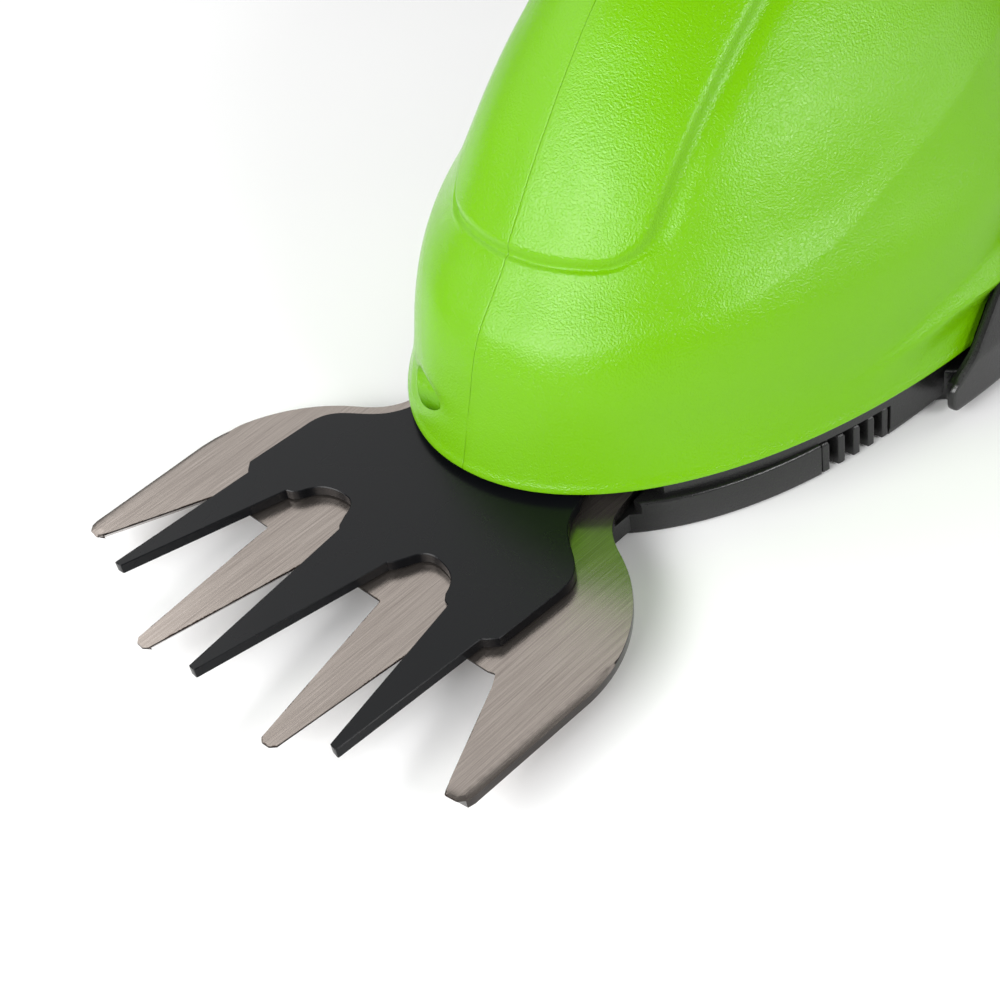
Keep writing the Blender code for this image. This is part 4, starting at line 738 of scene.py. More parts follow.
def screw_tree():
    """At each point a pan-head screw with a cross recess, its head's top on the point."""
    tree, given = tree_with("pan_head_screws", {
        "Head radius": "Float", "Head height": "Float", "Shank radius": "Float", "Length": "Float",
        "Turn": "Vector", "Finish": "Material"})
    crown_r = maths(tree, "MULTIPLY", given["Head radius"], CROWN_SHARE)
    crown = node(tree, "GeometryNodeMeshCone", None, {"Vertices": 40, "Depth": CROWN_H * MM},
                 {"Radius Top": crown_r, "Radius Bottom": given["Head radius"]})
    crown = node(tree, "GeometryNodeTransform", None, {"Translation": (0, 0, -CROWN_H * MM)},
                 {"Geometry": crown.outputs[0]})
    tip_r = maths(tree, "MULTIPLY", given["Shank radius"], TIP_SHARE)
    pieces = [crown.outputs[0]]
    # the head's rim under its crown, and the shank, which starts inside the head
    for start, total, low, high, sides in (
            (CROWN_H * MM, given["Head height"], given["Head radius"], given["Head radius"], 40),
            (1.0 * MM, given["Length"], given["Shank radius"], tip_r, 24)):
        depth = maths(tree, "SUBTRACT", total, start)
        bar = node(tree, "GeometryNodeMeshCone", None, {"Vertices": sides},
                   {"Radius Bottom": low, "Radius Top": high, "Depth": depth})
        bar = node(tree, "GeometryNodeTransform", None,
                   {"Translation": (0, 0, -start), "Rotation": (math.pi, 0, 0)}, {"Geometry": bar.outputs[0]})
        pieces.append(bar.outputs[0])
    whole = node(tree, "GeometryNodeMeshBoolean", {"operation": "UNION", "solver": "EXACT"})
    cut = node(tree, "GeometryNodeMeshBoolean", {"operation": "DIFFERENCE", "solver": "EXACT"}, None,
               {"Mesh 1": whole.outputs[0]})
    for piece in pieces:
        tree.links.new(piece, whole.inputs["Mesh 2"])
    for size in ((CROSS_LENGTH, CROSS_WIDTH), (CROSS_WIDTH, CROSS_LENGTH)):
        slot = node(tree, "GeometryNodeMeshCube", None, {"Size": [v * MM for v in (*size, 2 * CROSS_DEPTH)]})
        tree.links.new(slot.outputs[0], cut.inputs["Mesh 2"])
    return finish_tree(tree, given["Geometry"], cut.outputs[0], given["Finish"], given["Turn"])


def spring_tree():
    """At each point a coil spring that starts there and runs along its own Z before it is turned."""
    tree, given = tree_with("coil_springs", {
        "Coil radius": "Float", "Wire radius": "Float", "Turns": "Float", "Length": "Float",
        "Turn": "Vector", "Finish": "Material"})
    helix = node(tree, "GeometryNodeCurveSpiral", None, {"Resolution": 24},
                 {"Rotations": given["Turns"], "Start Radius": given["Coil radius"],
                  "End Radius": given["Coil radius"], "Height": given["Length"]})
    wire = round_bar(tree, helix.outputs[0], given["Wire radius"], 10)
    return finish_tree(tree, given["Geometry"], wire, given["Finish"], given["Turn"])


def rib_tree():
    """A round rib along a path of edges, repeated at even steps."""
    tree, given = tree_with("ribs_along_path", {
        "Count": "Int", "Step": "Vector", "Radius": "Float", "Finish": "Material"})
    path = node(tree, "GeometryNodeMeshToCurve", None, None, {"Mesh": given["Geometry"]})
    rib = round_bar(tree, path.outputs[0], given["Radius"], 14)
    places = node(tree, "GeometryNodeMeshLine", None, None,
                  {"Count": given["Count"], "Offset": given["Step"]})
    return finish_tree(tree, places.outputs[0], rib, given["Finish"])


def grown(name, tree, points, edges, values):
    """The plain mesh that a tree makes from points and edges in millimetres."""
    mesh = bpy.data.meshes.new(name)
    mesh.from_pydata([tuple(p) for p in np.asarray(points, float) * MM], edges, [])
    obj = linked(name, mesh)
    modifier = obj.modifiers.new("grow", "NODES")
    modifier.node_group = tree
    for item in tree.interface.items_tree:
        if item.in_out == "INPUT" and item.name in values:
            modifier[item.identifier] = values[item.name]
    bpy.context.view_layer.update()
    bake_modifiers(obj)
    tidy_faces(obj)
    smooth(obj)
    return obj


def ribs(path, closed, count, step, radius, finish):
    """Round ribs along an open or a closed path, each one step on from the last."""
    edges = [(i, (i + 1) % len(path)) for i in range(len(path) if closed else len(path) - 1)]
    return grown("ribs", RIBS, path, edges, {"Count": count, "Step": [v * MM for v in step],
                                             "Radius": radius * MM, "Finish": finish})


SCREWS = screw_tree()
SPRINGS = spring_tree()
RIBS = rib_tree()


# Nose shells

# The nose's front edge: its heights, and the run up to each of them
FRONT_Z = np.linspace(RIM_Z, BODY_TOP_Z, 4000)
FRONT_RUN = along(FRONT_Z, PROFILE(FRONT_Z))
# The raised panel, shaped like a U
U_HALF_WIDTH = 21.8
U_BOTTOM_Z = 46.0
U_CORNER = 5.5
# Heights of the shoulder crease and of the wedge's two edges, along Y
CREASE = curve_through([(-20.0, 34.6), (-7.0, 34.8), (0.4, 35.2), (5.3, 36.6), (16.5, 37.6), (26.0, 39.7),
                        (37.9, 42.4), (48.5, 46.7), (60.0, 51.5), (80.0, 60.0), (110.0, 70.0)])
WEDGE_TOP = curve_through([(30.5, 16.2), (44.6, 19.6), (55.8, 22.9), (67.9, 25.6), (90.0, 30.0)])
WEDGE_LOW = curve_through([(30.5, 16.2), (46.5, 17.8), (59.3, 19.9), (72.8, 20.8), (90.0, 22.0)])
WEDGE_SHARE = 0.85     # how much of the height between those edges the facet takes
WELL_UNDER_SKIN = 0.7  # how far the front screw's tube ends below the surface


def nose_rows():
    """Heights of the shell's slices: even along its front, closer at the rim and the panel's lower edge."""
    low = np.interp(U_BOTTOM_Z, FRONT_Z, FRONT_RUN)
    # the even ones are 0.75 mm apart, those by the panel 0.24 mm, and none nearer than 0.1 mm
    places = np.sort(np.concatenate([spaced(FRONT_RUN, 185), np.arange(low - 3.0, low + 2.5, 0.24)]))
    places = places[np.concatenate([[True], np.diff(places) > 0.1])]
    even = np.interp(places, FRONT_RUN, FRONT_Z)
    lip = RIM_Z + np.array([0.0, 0.12, 0.3, 0.5, 0.75, 1.0, 1.3])
    return np.concatenate([lip, even[even > lip[-1] + 0.3]])


def nose_relief(x, y, z, run):
    """How far the nose shell's surface stands out from the plain body, in millimetres."""
    # raised panel: d is the distance outside its edge, and side goes from its lower edge to its sides
    edge = np.minimum(U_HALF_WIDTH, 0.6 * NOSE_HALF_WIDTH * TAPER(z))
    low = np.interp(U_BOTTOM_Z, z[:, 0], run[:, 0])
    qx = np.abs(x) - (edge - U_CORNER)
    qr = (low + U_CORNER) - run
    d = np.hypot(np.maximum(qx, 0), np.maximum(qr, 0)) + np.minimum(np.maximum(qx, qr), 0) - U_CORNER
    side = ramp(0.0, 6.0, qx - qr)
    # it has a tight lower edge and wide bevels at its sides, with a soft channel and a swell round it
    out = (0.7 + 0.1 * side) * (1 - ramp(-1.9 + 0.6 * side, 0.2, d) ** 1.6)
    out -= (0.32 + 0.16 * side) * np.exp(-((d - 0.45 - 0.5 * side) / (0.5 + 0.85 * side)) ** 2)
    out += 0.07 * (1 - side) * np.exp(-((d - 1.5) / 0.5) ** 2)
    out *= 1 - 0.5 * ramp(84.0, 95.0, z)      # it flattens towards the crown
    # belt and shoulder crease: a narrow band above it faces up more, and a long fall below it less
    above = (z - CREASE(y)) / 4.5
    band = 0.5 * ((1 - above) + np.sqrt((1 - above) ** 2 + 0.03))
    fall = np.exp(np.minimum(above, 0.0))
    proud = (0.16 + 0.24 * ramp(2.0, 24.0, y)) * ramp(-9.0, -6.0, y)
    out += proud * np.where(above > 0, band, fall)
    # the two halves meet at a slight keel
    out += 0.12 * np.exp(-np.abs(x) / 3.5) * (1 - ramp(70.0, 85.0, z)) * ramp(13.0, 20.0, z)
    # the cheeks are a little fuller than the rim and the crown
    out += 0.8 * ramp(14.0, 27.0, z) * (1 - ramp(58.0, 78.0, z)) * ramp(4.0, 15.0, np.abs(x))
    # a facet on the flank that faces up more and more towards the rear, and runs out below
    top, bottom = WEDGE_TOP(y), WEDGE_LOW(y)
    bottom = top - WEDGE_SHARE * (top - bottom)
    slope = np.clip(0.27 + 0.0125 * (y - 39.0), 0.2, 0.6)
    depth = slope * np.maximum(top - bottom, 0.0)
    share = np.clip((top - z) / np.maximum(top - bottom, 0.05), 0.0, 1.0)
    out += depth * share * (1 - ramp(0.0, 5.0, bottom - z)) * ramp(30.5, 32.0, y)
    # lip round the rim, and the parting line's groove
    out += 0.12 * (1 - ramp(0.9, 1.35, z - RIM_Z)) * ramp(0.0, 0.4, z - RIM_Z + 0.12)
    out -= 0.045 * np.maximum(1 - (np.abs(x) - SEAM) / 0.25, 0)
    return out


def dimple_relief(y, z):
    """The rounded mouth of the front screw's recess, 0.7 mm deep."""
    r = np.hypot(y - NOSE_SCREW[0], z - NOSE_SCREW[1])
    return -0.7 * np.exp(-(np.maximum(r - SCREW_HEAD_R, 0) / 1.1) ** 2)


def screw_well(skin, y, z, depth, wall_t=1.1, sides=64):
    """The tube behind the dimple, from its floor out to just under the skin."""
    bore = SCREW_HEAD_R + GAP
    rings = []
    for radius, at_skin in ((bore, False), (bore, True), (bore + wall_t, True), (bore + wall_t, False)):
        for a in np.linspace(0, 2 * np.pi, sides, endpoint=False):
            at = (y + radius * math.cos(a), z + radius * math.sin(a))
            start = Vector((-(OUTSIDE_X + 20) * MM, at[0] * MM, at[1] * MM))
            hit = skin.ray_cast(start, Vector((1, 0, 0)))[0]
            reach = -hit.x / MM - WELL_UNDER_SKIN if hit and at_skin else 0.0
            rings.append((-max(reach, depth + (0.1 if at_skin else 0.0)), *at))
    index = np.arange(4 * sides).reshape(4, sides)
    return from_arrays("well", np.array(rings), ring_quads(np.concatenate([index, index[:1]])))


def nose_shell(side):
    """Half of the green nose: the body's surface with its relief, and a wall behind it."""
    z = nose_rows()
    # the slices' points: closest by the parting line, where its groove is, then 0.6 to 0.8 mm apart
    shares = np.concatenate([[0.0, 0.0018, 0.0036, 0.006, 0.009], np.linspace(0.0135, 1.0, 175)])
    lines = [body_line(h, 0.0, front_y(h), cowl_edge_y(h) + SEAM_OVERLAP, shares) for h in z]
    grid = np.array([np.stack([np.maximum(x, SEAM), y, np.full_like(x, h)], -1)
                     for h, (x, y) in zip(z, lines)])
    normals = normals_of(grid)
    if normals[40, 60, 1] > 0:      # a place on the front, which has to face forwards
        normals = -normals
    run = np.interp(z, FRONT_Z, FRONT_RUN)
    heights, runs = (np.repeat(v[:, None], grid.shape[1], 1) for v in (z, run))
    relief = nose_relief(grid[..., 0], grid[..., 1], heights, runs)
    if side < 0:
        relief += dimple_relief(grid[..., 1], heights)
    outer = grid + normals * relief[..., None]
    inner = grid - normals * SHELL_WALL
    for g in (outer, inner):
        g[..., 0] = np.maximum(g[..., 0], SEAM)
        g[:, 0, 0] = SEAM
        g[..., 2] = np.maximum(g[..., 2], RIM_Z)
    top = [g[-1:] * [0, 1, 1] + [SEAM, 0, 0] for g in (outer, inner)]
    outer, inner = (np.concatenate([g, t]) for g, t in zip((outer, inner), top))
    word = side_word(side)
    obj = wall("nose_" + word, outer, inner, side)
    if side < 0:
        y, h, head = NOSE_SCREW
        bpy.context.view_layer.update()
        skin = BVHTree.FromObject(obj, bpy.context.evaluated_depsgraph_get())
        boolean(obj, rod("recess", (-head + 2, y, h), (-OUTSIDE_X, y, h), SCREW_HEAD_R + GAP))
        obj = joined("nose_" + word, [obj, screw_well(skin, y, h, head - 2.5)])
        smooth(obj)
    dress(obj, "housing", "green_shell", "nose_shell_" + word)


# Rear shells

def cowl_front(z):
    """The cowl's edge with its lower corner rounded."""
    down = np.maximum(COWL_CORNER - (z - COWL_BOTTOM_Z), 0.0)
    return cowl_edge_y(z) + COWL_CORNER - np.sqrt(COWL_CORNER ** 2 - down ** 2)


def cowl_tail(side):
    """The cowl and tail: a double-stepped front edge, then one smooth wall to the rear."""
    top = BODY_TOP_Z + COWL_OFFSET
    # slices, closer together at the rounded lower edge and over the crown, and how far that edge is trimmed
    z = np.concatenate([[2.0, 2.1, 2.35, 2.8], np.linspace(3.4, 90.0, 110),
                        90 + (top - 90) * np.linspace(0.02, 1.0, 45) ** 0.7])
    trim = np.concatenate([[0.6, 0.25, 0.08, 0.0], np.zeros(len(z) - 4)])
    # the stepped edge: places behind the front line, and how far each stands out from the nose
    lip_y = np.array([2.6, 2.6, 1.9, 1.6, 1.5, 0.12, 0.0, 0.0, 0.12, 0.45, 1.0])
    lip_off = np.array([1.5, 0.9, 0.7, 0.9, 2.3, 2.3, 2.45, 3.25, 3.5, 3.6, 3.6])
    shares = np.linspace(0.0, 1.0, 130)
    under = COWL_OFFSET - SHELL_WALL
    outer, inner = [], []
    for h, t in zip(z, trim):
        y0 = float(cowl_front(h))
        lean = 1.55 if 7.5 < h < 50 else 1.0      # the edge leans there, so its steps are longer along Y
        lips = np.array([(float(half_width(h, y, o - t)), y) for y, o in zip(y0 + lip_y * lean, lip_off)])
        x, y = body_line(h, COWL_OFFSET - t, y0 + 1.4 * lean, BODY_TAIL_Y + COWL_OFFSET - t, shares, True)
        row = np.concatenate([lips, np.stack([x, y], -1)])
        outer.append(np.column_stack([row, np.full(len(row), h)]))
        low = min(h, top - SHELL_WALL)
        x, y = body_line(low, under, y0 + 3.0 * lean, BODY_TAIL_Y + under, np.linspace(0, 1, len(row)), True)
        inner.append(np.column_stack([x, y, np.full(len(x), low)]))
    grids = []
    for g in (np.array(outer), np.array(inner)):
        g[..., 0] = np.maximum(g[..., 0], SEAM)
        grids.append(np.concatenate([g, g[-1:] * [0, 1, 1] + [SEAM, 0, 0]]))
    return wall("tail", *grids, side, sharp=35.0)


def handle_line(step):
    """Places round the handle's centre line as y, z, the outward direction and the run."""
    upper_y, upper_z = COLUMN_Y - UPPER_BEND, GRIP_Z - UPPER_BEND
    lower_y, lower_z = COLUMN_Y - LOWER_BEND, BAR_Z + LOWER_BEND
    pieces = [("line", (HANDLE_ROOT_Y, GRIP_Z), (upper_y, GRIP_Z)),
              ("arc", (upper_y, upper_z), UPPER_BEND, 90),
              ("line", (COLUMN_Y, upper_z), (COLUMN_Y, lower_z)),
              ("arc", (lower_y, lower_z), LOWER_BEND, 0),
              ("line", (lower_y, BAR_Z), (HANDLE_ROOT_Y, BAR_Z))]
    out, total = [], 0.0
    for piece in pieces:
        if piece[0] == "line":
            a, b = np.array(piece[1], float), np.array(piece[2], float)
            length = np.linalg.norm(b - a)
            d = (b - a) / length
            for s in np.arange(0, length, step):
                out.append((*(a + d * s), -d[1], d[0], total + s))
        else:
            (cy, cz), r, start = piece[1:]
            length = math.pi / 2 * r
            for s in np.arange(0, length, step):
                a = math.radians(start) - s / r
                out.append((cy + r * math.cos(a), cz + r * math.sin(a), math.cos(a), math.sin(a), total + s))
        total += length
    out.append((HANDLE_ROOT_Y, BAR_Z, 0, -1, total))
    return np.array(out)


# Half the bars' thickness and breadth, at shares of the handle's run
HANDLE_RUN = handle_line(50.0)[-1, 4]
THICKNESS = curve_through([(0.0, GRIP_HALF_HEIGHT), (0.42, GRIP_HALF_HEIGHT), (0.53, 14.5),
                           (0.63, 12.0), (1.0, 12.0)])
BREADTH = curve_through([(0.0, 19.0), (0.1, 17.0), (0.9, 17.0), (1.0, 19.0)])


def handle_ring(place, grow, count, flare=0.0, whole=False, share=1.0):
    """A section of the handle: a squared oval, grown by a distance or scaled, half of it or all."""
    y, z, oy, oz, run = place
    at = run / HANDLE_RUN
    high = share * (float(THICKNESS(at)) + flare) + grow
    wide = share * (float(BREADTH(at)) + flare * 0.6) + grow
    a = np.linspace(0, 2 * np.pi, 2 * count, endpoint=False) if whole else np.linspace(0, np.pi, count)
    power = 2 / HANDLE_POWER
    x = wide * np.sign(np.sin(a)) * np.abs(np.sin(a)) ** power
    s = high * np.sign(np.cos(a)) * np.abs(np.cos(a)) ** power
    if not whole:
        # the parting line's groove
        x = np.maximum(x, SEAM)
        s = s - np.sign(s) * 0.3 * np.maximum(1 - (x - SEAM) / 0.5, 0)
    return np.stack([x, y + oy * s, z + oz * s], -1)


def handle_loop(side):
    """Half of the handle loop, a hollow moulding that flares into the tail at both roots."""
    places = handle_line(1.6)
    # how much of the flare each place has, along Y
    reach = np.interp(places[:, 0], [HANDLE_ROOT_Y, 119.0, 124.0, 131.0], [1.0, 1.0, 0.35, 0.0])
    shares = np.linspace(0, 1, 44)
    # the front of the upper root is rounded down to the body's top
    front = np.clip((places[:, 0] - HANDLE_ROOT_Y) / 9.0, 0, 1)
    shrink = np.where(places[:, 1] > 50.0, 0.7 + 0.3 * np.sqrt(1 - (1 - front) ** 2), 1.0)
    outer = []
    for place, near, less in zip(places, reach, shrink):
        ring = handle_ring(place, 0.0, 400, flare=3.0 * near * near, share=less)
        run = along(*ring.T)
        # evenly spaced, with extra points by the parting line for its groove
        even = np.concatenate([[0, 0.3, 0.6, 1.0], np.interp(shares, [0, 1], [1.6, run[-1] - 1.6]),
                               run[-1] - np.array([1.0, 0.6, 0.3, 0.0])])
        outer.append(np.stack([np.interp(even, run, c) for c in ring.T], -1))
    inner = [handle_ring(p, -SHELL_WALL, len(outer[0]), share=less) for p, less in zip(places, shrink)]
    return wall("loop", np.array(outer), np.array(inner), side)


def rear_shell(side):
    """Half of the black rear moulding: cowl, tail and handle, with its openings cut."""
    loop = handle_loop(side)
    slot, stem = TRIGGER_HALF_WIDTH + GAP, LOCK_STEM_HALF_WIDTH + GAP
    boolean(loop, block("trigger_slot", (-slot, TRIGGER_Y - 3.6, 60), (slot, TRIGGER_Y + 28.4, TRIGGER_Z)))
    boolean(loop, block("lock_slot", (-stem, LOCK_Y - 9.3, 90), (stem, LOCK_Y + 5.3, 110)))
    boolean(loop, rod("socket_hole", (0, COLUMN_Y - 1, SOCKET_Z), (0, 260, SOCKET_Z), SOCKET_R + GAP))
    boolean(loop, rod("lamp_hole", (0, COLUMN_Y + 7, LAMP_Z), (0, 260, LAMP_Z), LAMP_R + GAP, 32))
    tail = cowl_tail(side)
    if side < 0:
        # the first screw holds the tail, the others the handle
        for piece, (y, h, head) in zip((tail, loop, loop), REAR_SCREWS):
            boolean(piece, rod("recess", (-head + 1.8, y, h), (-OUTSIDE_X, y, h), SCREW_HEAD_R + GAP))
    word = side_word(side)
    dress_joined("rear_" + word, [tail, loop], 35.0, "housing", "black_shell", "rear_shell_" + word)


# Base pan and release buttons

def pan_half_width(y):
    """The pan's edge: its own rounded nose, then a jog out to fill the rear cowl."""
    share = np.clip(y - PAN_FRONT_Y, 0.0, PAN_LENGTH) / PAN_LENGTH
    nose = PAN_HALF_WIDTH * (1 - (1 - share) ** PAN_POWER) ** (1 / PAN_POWER)
    rear = half_width(RIM_Z, y, COWL_OFFSET - SHELL_WALL - GAP)
    jog = np.clip((y - PAN_JOG_Y) / 3.0, 0.0, 1.0)
    return nose * (1 - jog) + rear * jog


def both_sides(x, y, count):
    """An outline, anticlockwise, from evenly spaced places on its right half and the same on its left."""
    run = along(x, y)
    even = spaced(run, count)
    right = list(zip(np.interp(even, run, x), np.interp(even, run, y)))
    return right + [(-x, y) for x, y in reversed(right) if x > 0]


def pan_outline():
    """The tray's outline, which closes on X = 0 at both ends."""
    t = np.linspace(0, 1, 1500)
    y = PAN_FRONT_Y + (PAN_END_Y - PAN_FRONT_Y) * (0.5 - 0.5 * np.cos(np.pi * t))
    x = pan_half_width(y)
    x[0] = x[-1] = 0.0
    return both_sides(x, y, 150)


def rim_outline(offset, y0, y1):
    """The body's outline at its rim between two places, cut straight across at both."""
    t = np.linspace(0, 1, 1500) ** 2.2
    y = y0 + (y1 - y0) * t
    return both_sides(half_width(RIM_Z, y, offset), y, 90)


def button_inner_x():
    """Where the release buttons end inside the tray."""
    return float(pan_half_width(np.array(BUTTON_Y[0]))) - BUTTON_DEPTH


def base_pan():
    """The tray: rounded edges, the blades' mouth and seat, bosses and button windows."""
    outline = pan_outline()
    pan = slab("pan", [outline], edge_levels(0.0, PAN_HEIGHT, 0.5, 0.7))
    boolean(pan, slab("pocket", [[tuple(p) for p in inset(outline, PAN_WALL)]],
                      [(PAN_FLOOR, 0.0), (PAN_HEIGHT + 2, 0.0)]))
    # the upright ring that the nose's rim sits round
    ring = slab("ring", [rim_outline(-2.0, 2.0, 62.0)], [(PAN_FLOOR - 0.5, 0.0), (RIM_Z - GAP, 0.0)])
    boolean(ring, slab("ring_bore", [rim_outline(-2.0 - SHELL_WALL, -3.0, 67.0)],
                       [(0.0, 0.0), (RIM_Z + 2, 0.0)]))
    boolean(pan, ring, "UNION")
    boolean(pan, block("seat", (-SEAT_HALF_WIDTH, PAN_FRONT_Y + 3, 1.0),
                       (SEAT_HALF_WIDTH, SEAT_END_Y, SEAT_Z)), "UNION")
    for x in (-BOSS_X, BOSS_X):
        for y in BOSS_Y:
            boolean(pan, rod("boss", (x, y, 1.0), (x, y, BOSS_TOP_Z), BOSS_R), "UNION")
            boolean(pan, rod("screw_bore", (x, y, -1.0), (x, y, 16.0), SCREW_R + GAP, 24))
            boolean(pan, rod("head_bore", (x, y, -1.0), (x, y, 3.0), SCREW_HEAD_R + GAP, 32))
    # the slot that the blades come out of, their pocket behind it, and the pivot nut's
    boolean(pan, block("mouth", (-33, PAN_FRONT_Y - 5, SEAT_Z), (33, -2.0, RIM_Z + 2)))
    boolean(pan, block("recess", (-SEAT_HALF_WIDTH, -3.0, SEAT_Z), (SEAT_HALF_WIDTH, SEAT_END_Y, RIM_Z + 2)))
    boolean(pan, rod("nut_recess", (0, 0, PAN_FLOOR), (0, 0, SEAT_Z + 3), 6.1, 6))
    for side in (-1, 1):
        inner, outer = sorted((side * (button_inner_x() - BUTTON_TRAVEL), side * OUTSIDE_X))
        window = block("window", (inner, BUTTON_Y[0] - GAP, -1.0), (outer, BUTTON_Y[1] + GAP, PAN_HEIGHT))
        boolean(pan, window)
    dress_joined("base_tray", [pan], 35.0, "housing", "black_shell", "base_pan")


def release_button(side):
    """The side button, with upright grooves between chamfered ribs."""
    inner = button_inner_x() + GAP
    y0, y1 = BUTTON_Y
    rib = (y1 - y0 - GROOVES * GROOVE_W) / (GROOVES + 1)
    right = [(inner, y0)]
    y = y0
    for k in range(GROOVES + 1):
        for t in np.linspace(y, y + rib, 4):
            right.append((float(pan_half_width(t)) - 0.05, t))
        y += rib
        if k < GROOVES:
            floor_x = float(pan_half_width(y)) - GROOVE_DEPTH
            right += [(floor_x, y), (floor_x, y + GROOVE_W)]
            y += GROOVE_W
    right.append((inner, y1))
    outline = [(side * x, y) for x, y in rounded(right, 0.22, 2, 50.0)]
    top = PAN_HEIGHT - GAP
    word = side_word(side)
    obj = slab("button_" + word, [outline],
               [(GAP, 0.15), (GAP + 0.15, 0.0), (top - 0.6, 0.0), (top - 0.25, 0.1), (top, 0.32)])
    smooth(obj, 40.0)
    dress(obj, word + "_release", "black_shell", "release_button_" + word)


# Blades

def closely(points, step=1.2):
    """An outline with points added so that none are further apart than the step."""
    out = []
    for a, b in zip(points, points[1:] + points[:1]):
        count = max(1, int(math.dist(a, b) / step))
        out += [(a[0] + (b[0] - a[0]) * i / count, a[1] + (b[1] - a[1]) * i / count) for i in range(count)]
    return out


def mirrored(half):
    """A closed outline from its right half."""
    return half + [(-x, y) for x, y in reversed(half)]


def turned_outline(points, degrees):
    """An outline turned about the blade pivot."""
    c, s = math.cos(math.radians(degrees)), math.sin(math.radians(degrees))
    return [(c * x - s * y, s * x + c * y) for x, y in points]


def edge_attribute(obj, outline, y_limit, x_limit=99.0):
    """Stores each point's distance from the cutting edges in millimetres, and which faces are side walls,
    which take painted shade.

    The cutting edges are the outline's parts below the y limit and nearer to X = 0 than the x limit."""
    p = np.array([v.co[:2] for v in obj.data.vertices]) / MM
    loop = np.array(outline)
    nxt = np.roll(loop, -1, 0)
    keep = (loop[:, 1] < y_limit) & (nxt[:, 1] < y_limit) & (np.abs(loop[:, 0] + nxt[:, 0]) < 2 * x_limit)
    a, d = loop[keep], (nxt - loop)[keep]
    rel = p[:, None] - a[None]
    t = np.clip((rel * d).sum(-1) / (d ** 2).sum(-1), 0, 1)
    dist = np.sqrt(((rel - t[..., None] * d) ** 2).sum(-1)).min(1)
    attribute = obj.data.attributes.new("edge_mm", "FLOAT", "POINT")
    attribute.data.foreach_set("value", dist.astype(np.float32))
    sides = obj.data.attributes.new("side_wall_shade", "FLOAT", "FACE")
    # upright faces get 0.9 of the painted wall shade
    upright = [0.9 if abs(face.normal.z) < 0.6 else 0.0 for face in obj.data.polygons]
    sides.data.foreach_set("value", upright)


def lower_blade():
    """The fixed blade: two narrow inner teeth and two broad outer ones, ground on top and below."""
    w, gullet, tip, inner_tip = 50.5, -45.5, -66.4, -77.5
    half = [(8.7, gullet), (15.4, inner_tip + 0.6), (16.2, inner_tip), (17.9, inner_tip + 0.1),
            (18.85, inner_tip + 1.0), (21.2, gullet - 6.0), (21.6, gullet)]
    half += [(34.4, gullet + 0.1), (35.7, gullet + 0.5), (37.1, gullet - 1.6)]
    half += [(w - 4.8, tip + 0.9), (w - 4.2, tip), (w - 1.9, tip + 0.3), (w - 0.8, tip + 1.4),
             (w - 0.5, tip + 2.6)]
    half += bezier((w, -39.0), (w - 0.2, -27.0), (42.5, -17.8), (34.4, -13.5), 24)
    half += bezier((34.4, -13.5), (30.5, -11.5), (26.8, -9.0), (26.2, -3.7), 12)
    half += [(26.2, -3.7), (24.0, 8.0), (20.0, 15.0)]
    outline = closely(rounded(mirrored(half), 0.5, 3, 25.0))

    def bevel(points):
        # the broad outer teeth are ground back along their outer edge
        x, y = np.abs(points[:, 0]), points[:, 1]
        broad = ramp(45.0, 47.0, x) * ramp(-30.0, -36.0, y) * ramp(-69.0, -64.5, y)
        return 0.06 + 0.9 * broad

    def undercut(points):
        # the teeth are ground away below their cutting edges, but not along the blade's outer sides
        x, y = np.abs(points[:, 0]), points[:, 1]
        outer_side = np.interp(y, [tip + 3.0, -39.0], [w - 1.2, w - 0.8])
        return 0.1 + 1.5 * ramp(-43.5, -46.5, y) * (1 - ramp(-1.0, 0.0, x - outer_side))

    z0, z1 = LOWER_BLADE_Z, LOWER_BLADE_Z + BLADE_T
    obj = slab("lower_blade_ground", [outline, circle(0, 0, PIVOT_BORE_R)],
               [(z0, undercut), (z1 - 0.3, 0.0), (z1 - 0.25, 0.0), (z1, bevel)], grid=1.1, sharp=24.0)
    edge_attribute(obj, outline, -40.0, w - 1.5)
    dress(obj, "housing", "ground_steel", "lower_blade")


def upper_blade():
    """The swinging blade: three teeth, turned to their place in the photograph."""
    w, gullet = 34.5, -33.4
    half = [(0.8, -75.9), (6.6, -39.6), (7.4, -38.9), (8.2, -37.8)]
    half += bezier((8.2, -37.8), (9.4, gullet - 0.2), (11.0, gullet), (13.0, gullet), 12)
    half += bezier((13.0, gullet), (17.5, gullet - 0.4), (19.2, gullet - 1.8), (20.4, -38.8), 12)
    half += [(21.2, -39.1), (22.4, -39.5), (30.3, -70.5), (32.0, -70.7)]
    half += [(w - 2.2, -41.0), (w - 1.4, -40.4), (w, -39.0)]
    half += bezier((w, -25.0), (w - 0.2, -16.8), (24.3, -18.5), (22.0, -8.9), 18)
    half += [(22.0, -8.9), (16.0, 0.0), (13.0, 7.0)]
    outline = closely(rounded(mirrored(half), 0.25, 2, 25.0))
    holes = [circle(0, 0, PIVOT_BORE_R)]
    holes += [circle(x, YOKE_SCREW_Y, YOKE_BORE_R, 24) for x in (-YOKE_SCREW_X, YOKE_SCREW_X)]
    shapes = [turned_outline(s, REST_ANGLE) for s in [outline] + holes]
    z0, z1 = UPPER_BLADE_Z, UPPER_BLADE_Z + BLADE_T
    obj = slab("upper_blade_coated", shapes, [(z0, 0.08), (z0 + 0.08, 0.0), (z1 - 0.14, 0.0), (z1, 0.14)],
               grid=1.6, sharp=24.0)
    edge_attribute(obj, shapes[0], -38.0)
    dress(obj, "cutting_blade", "coated_steel", "upper_blade")


# Grip pieces

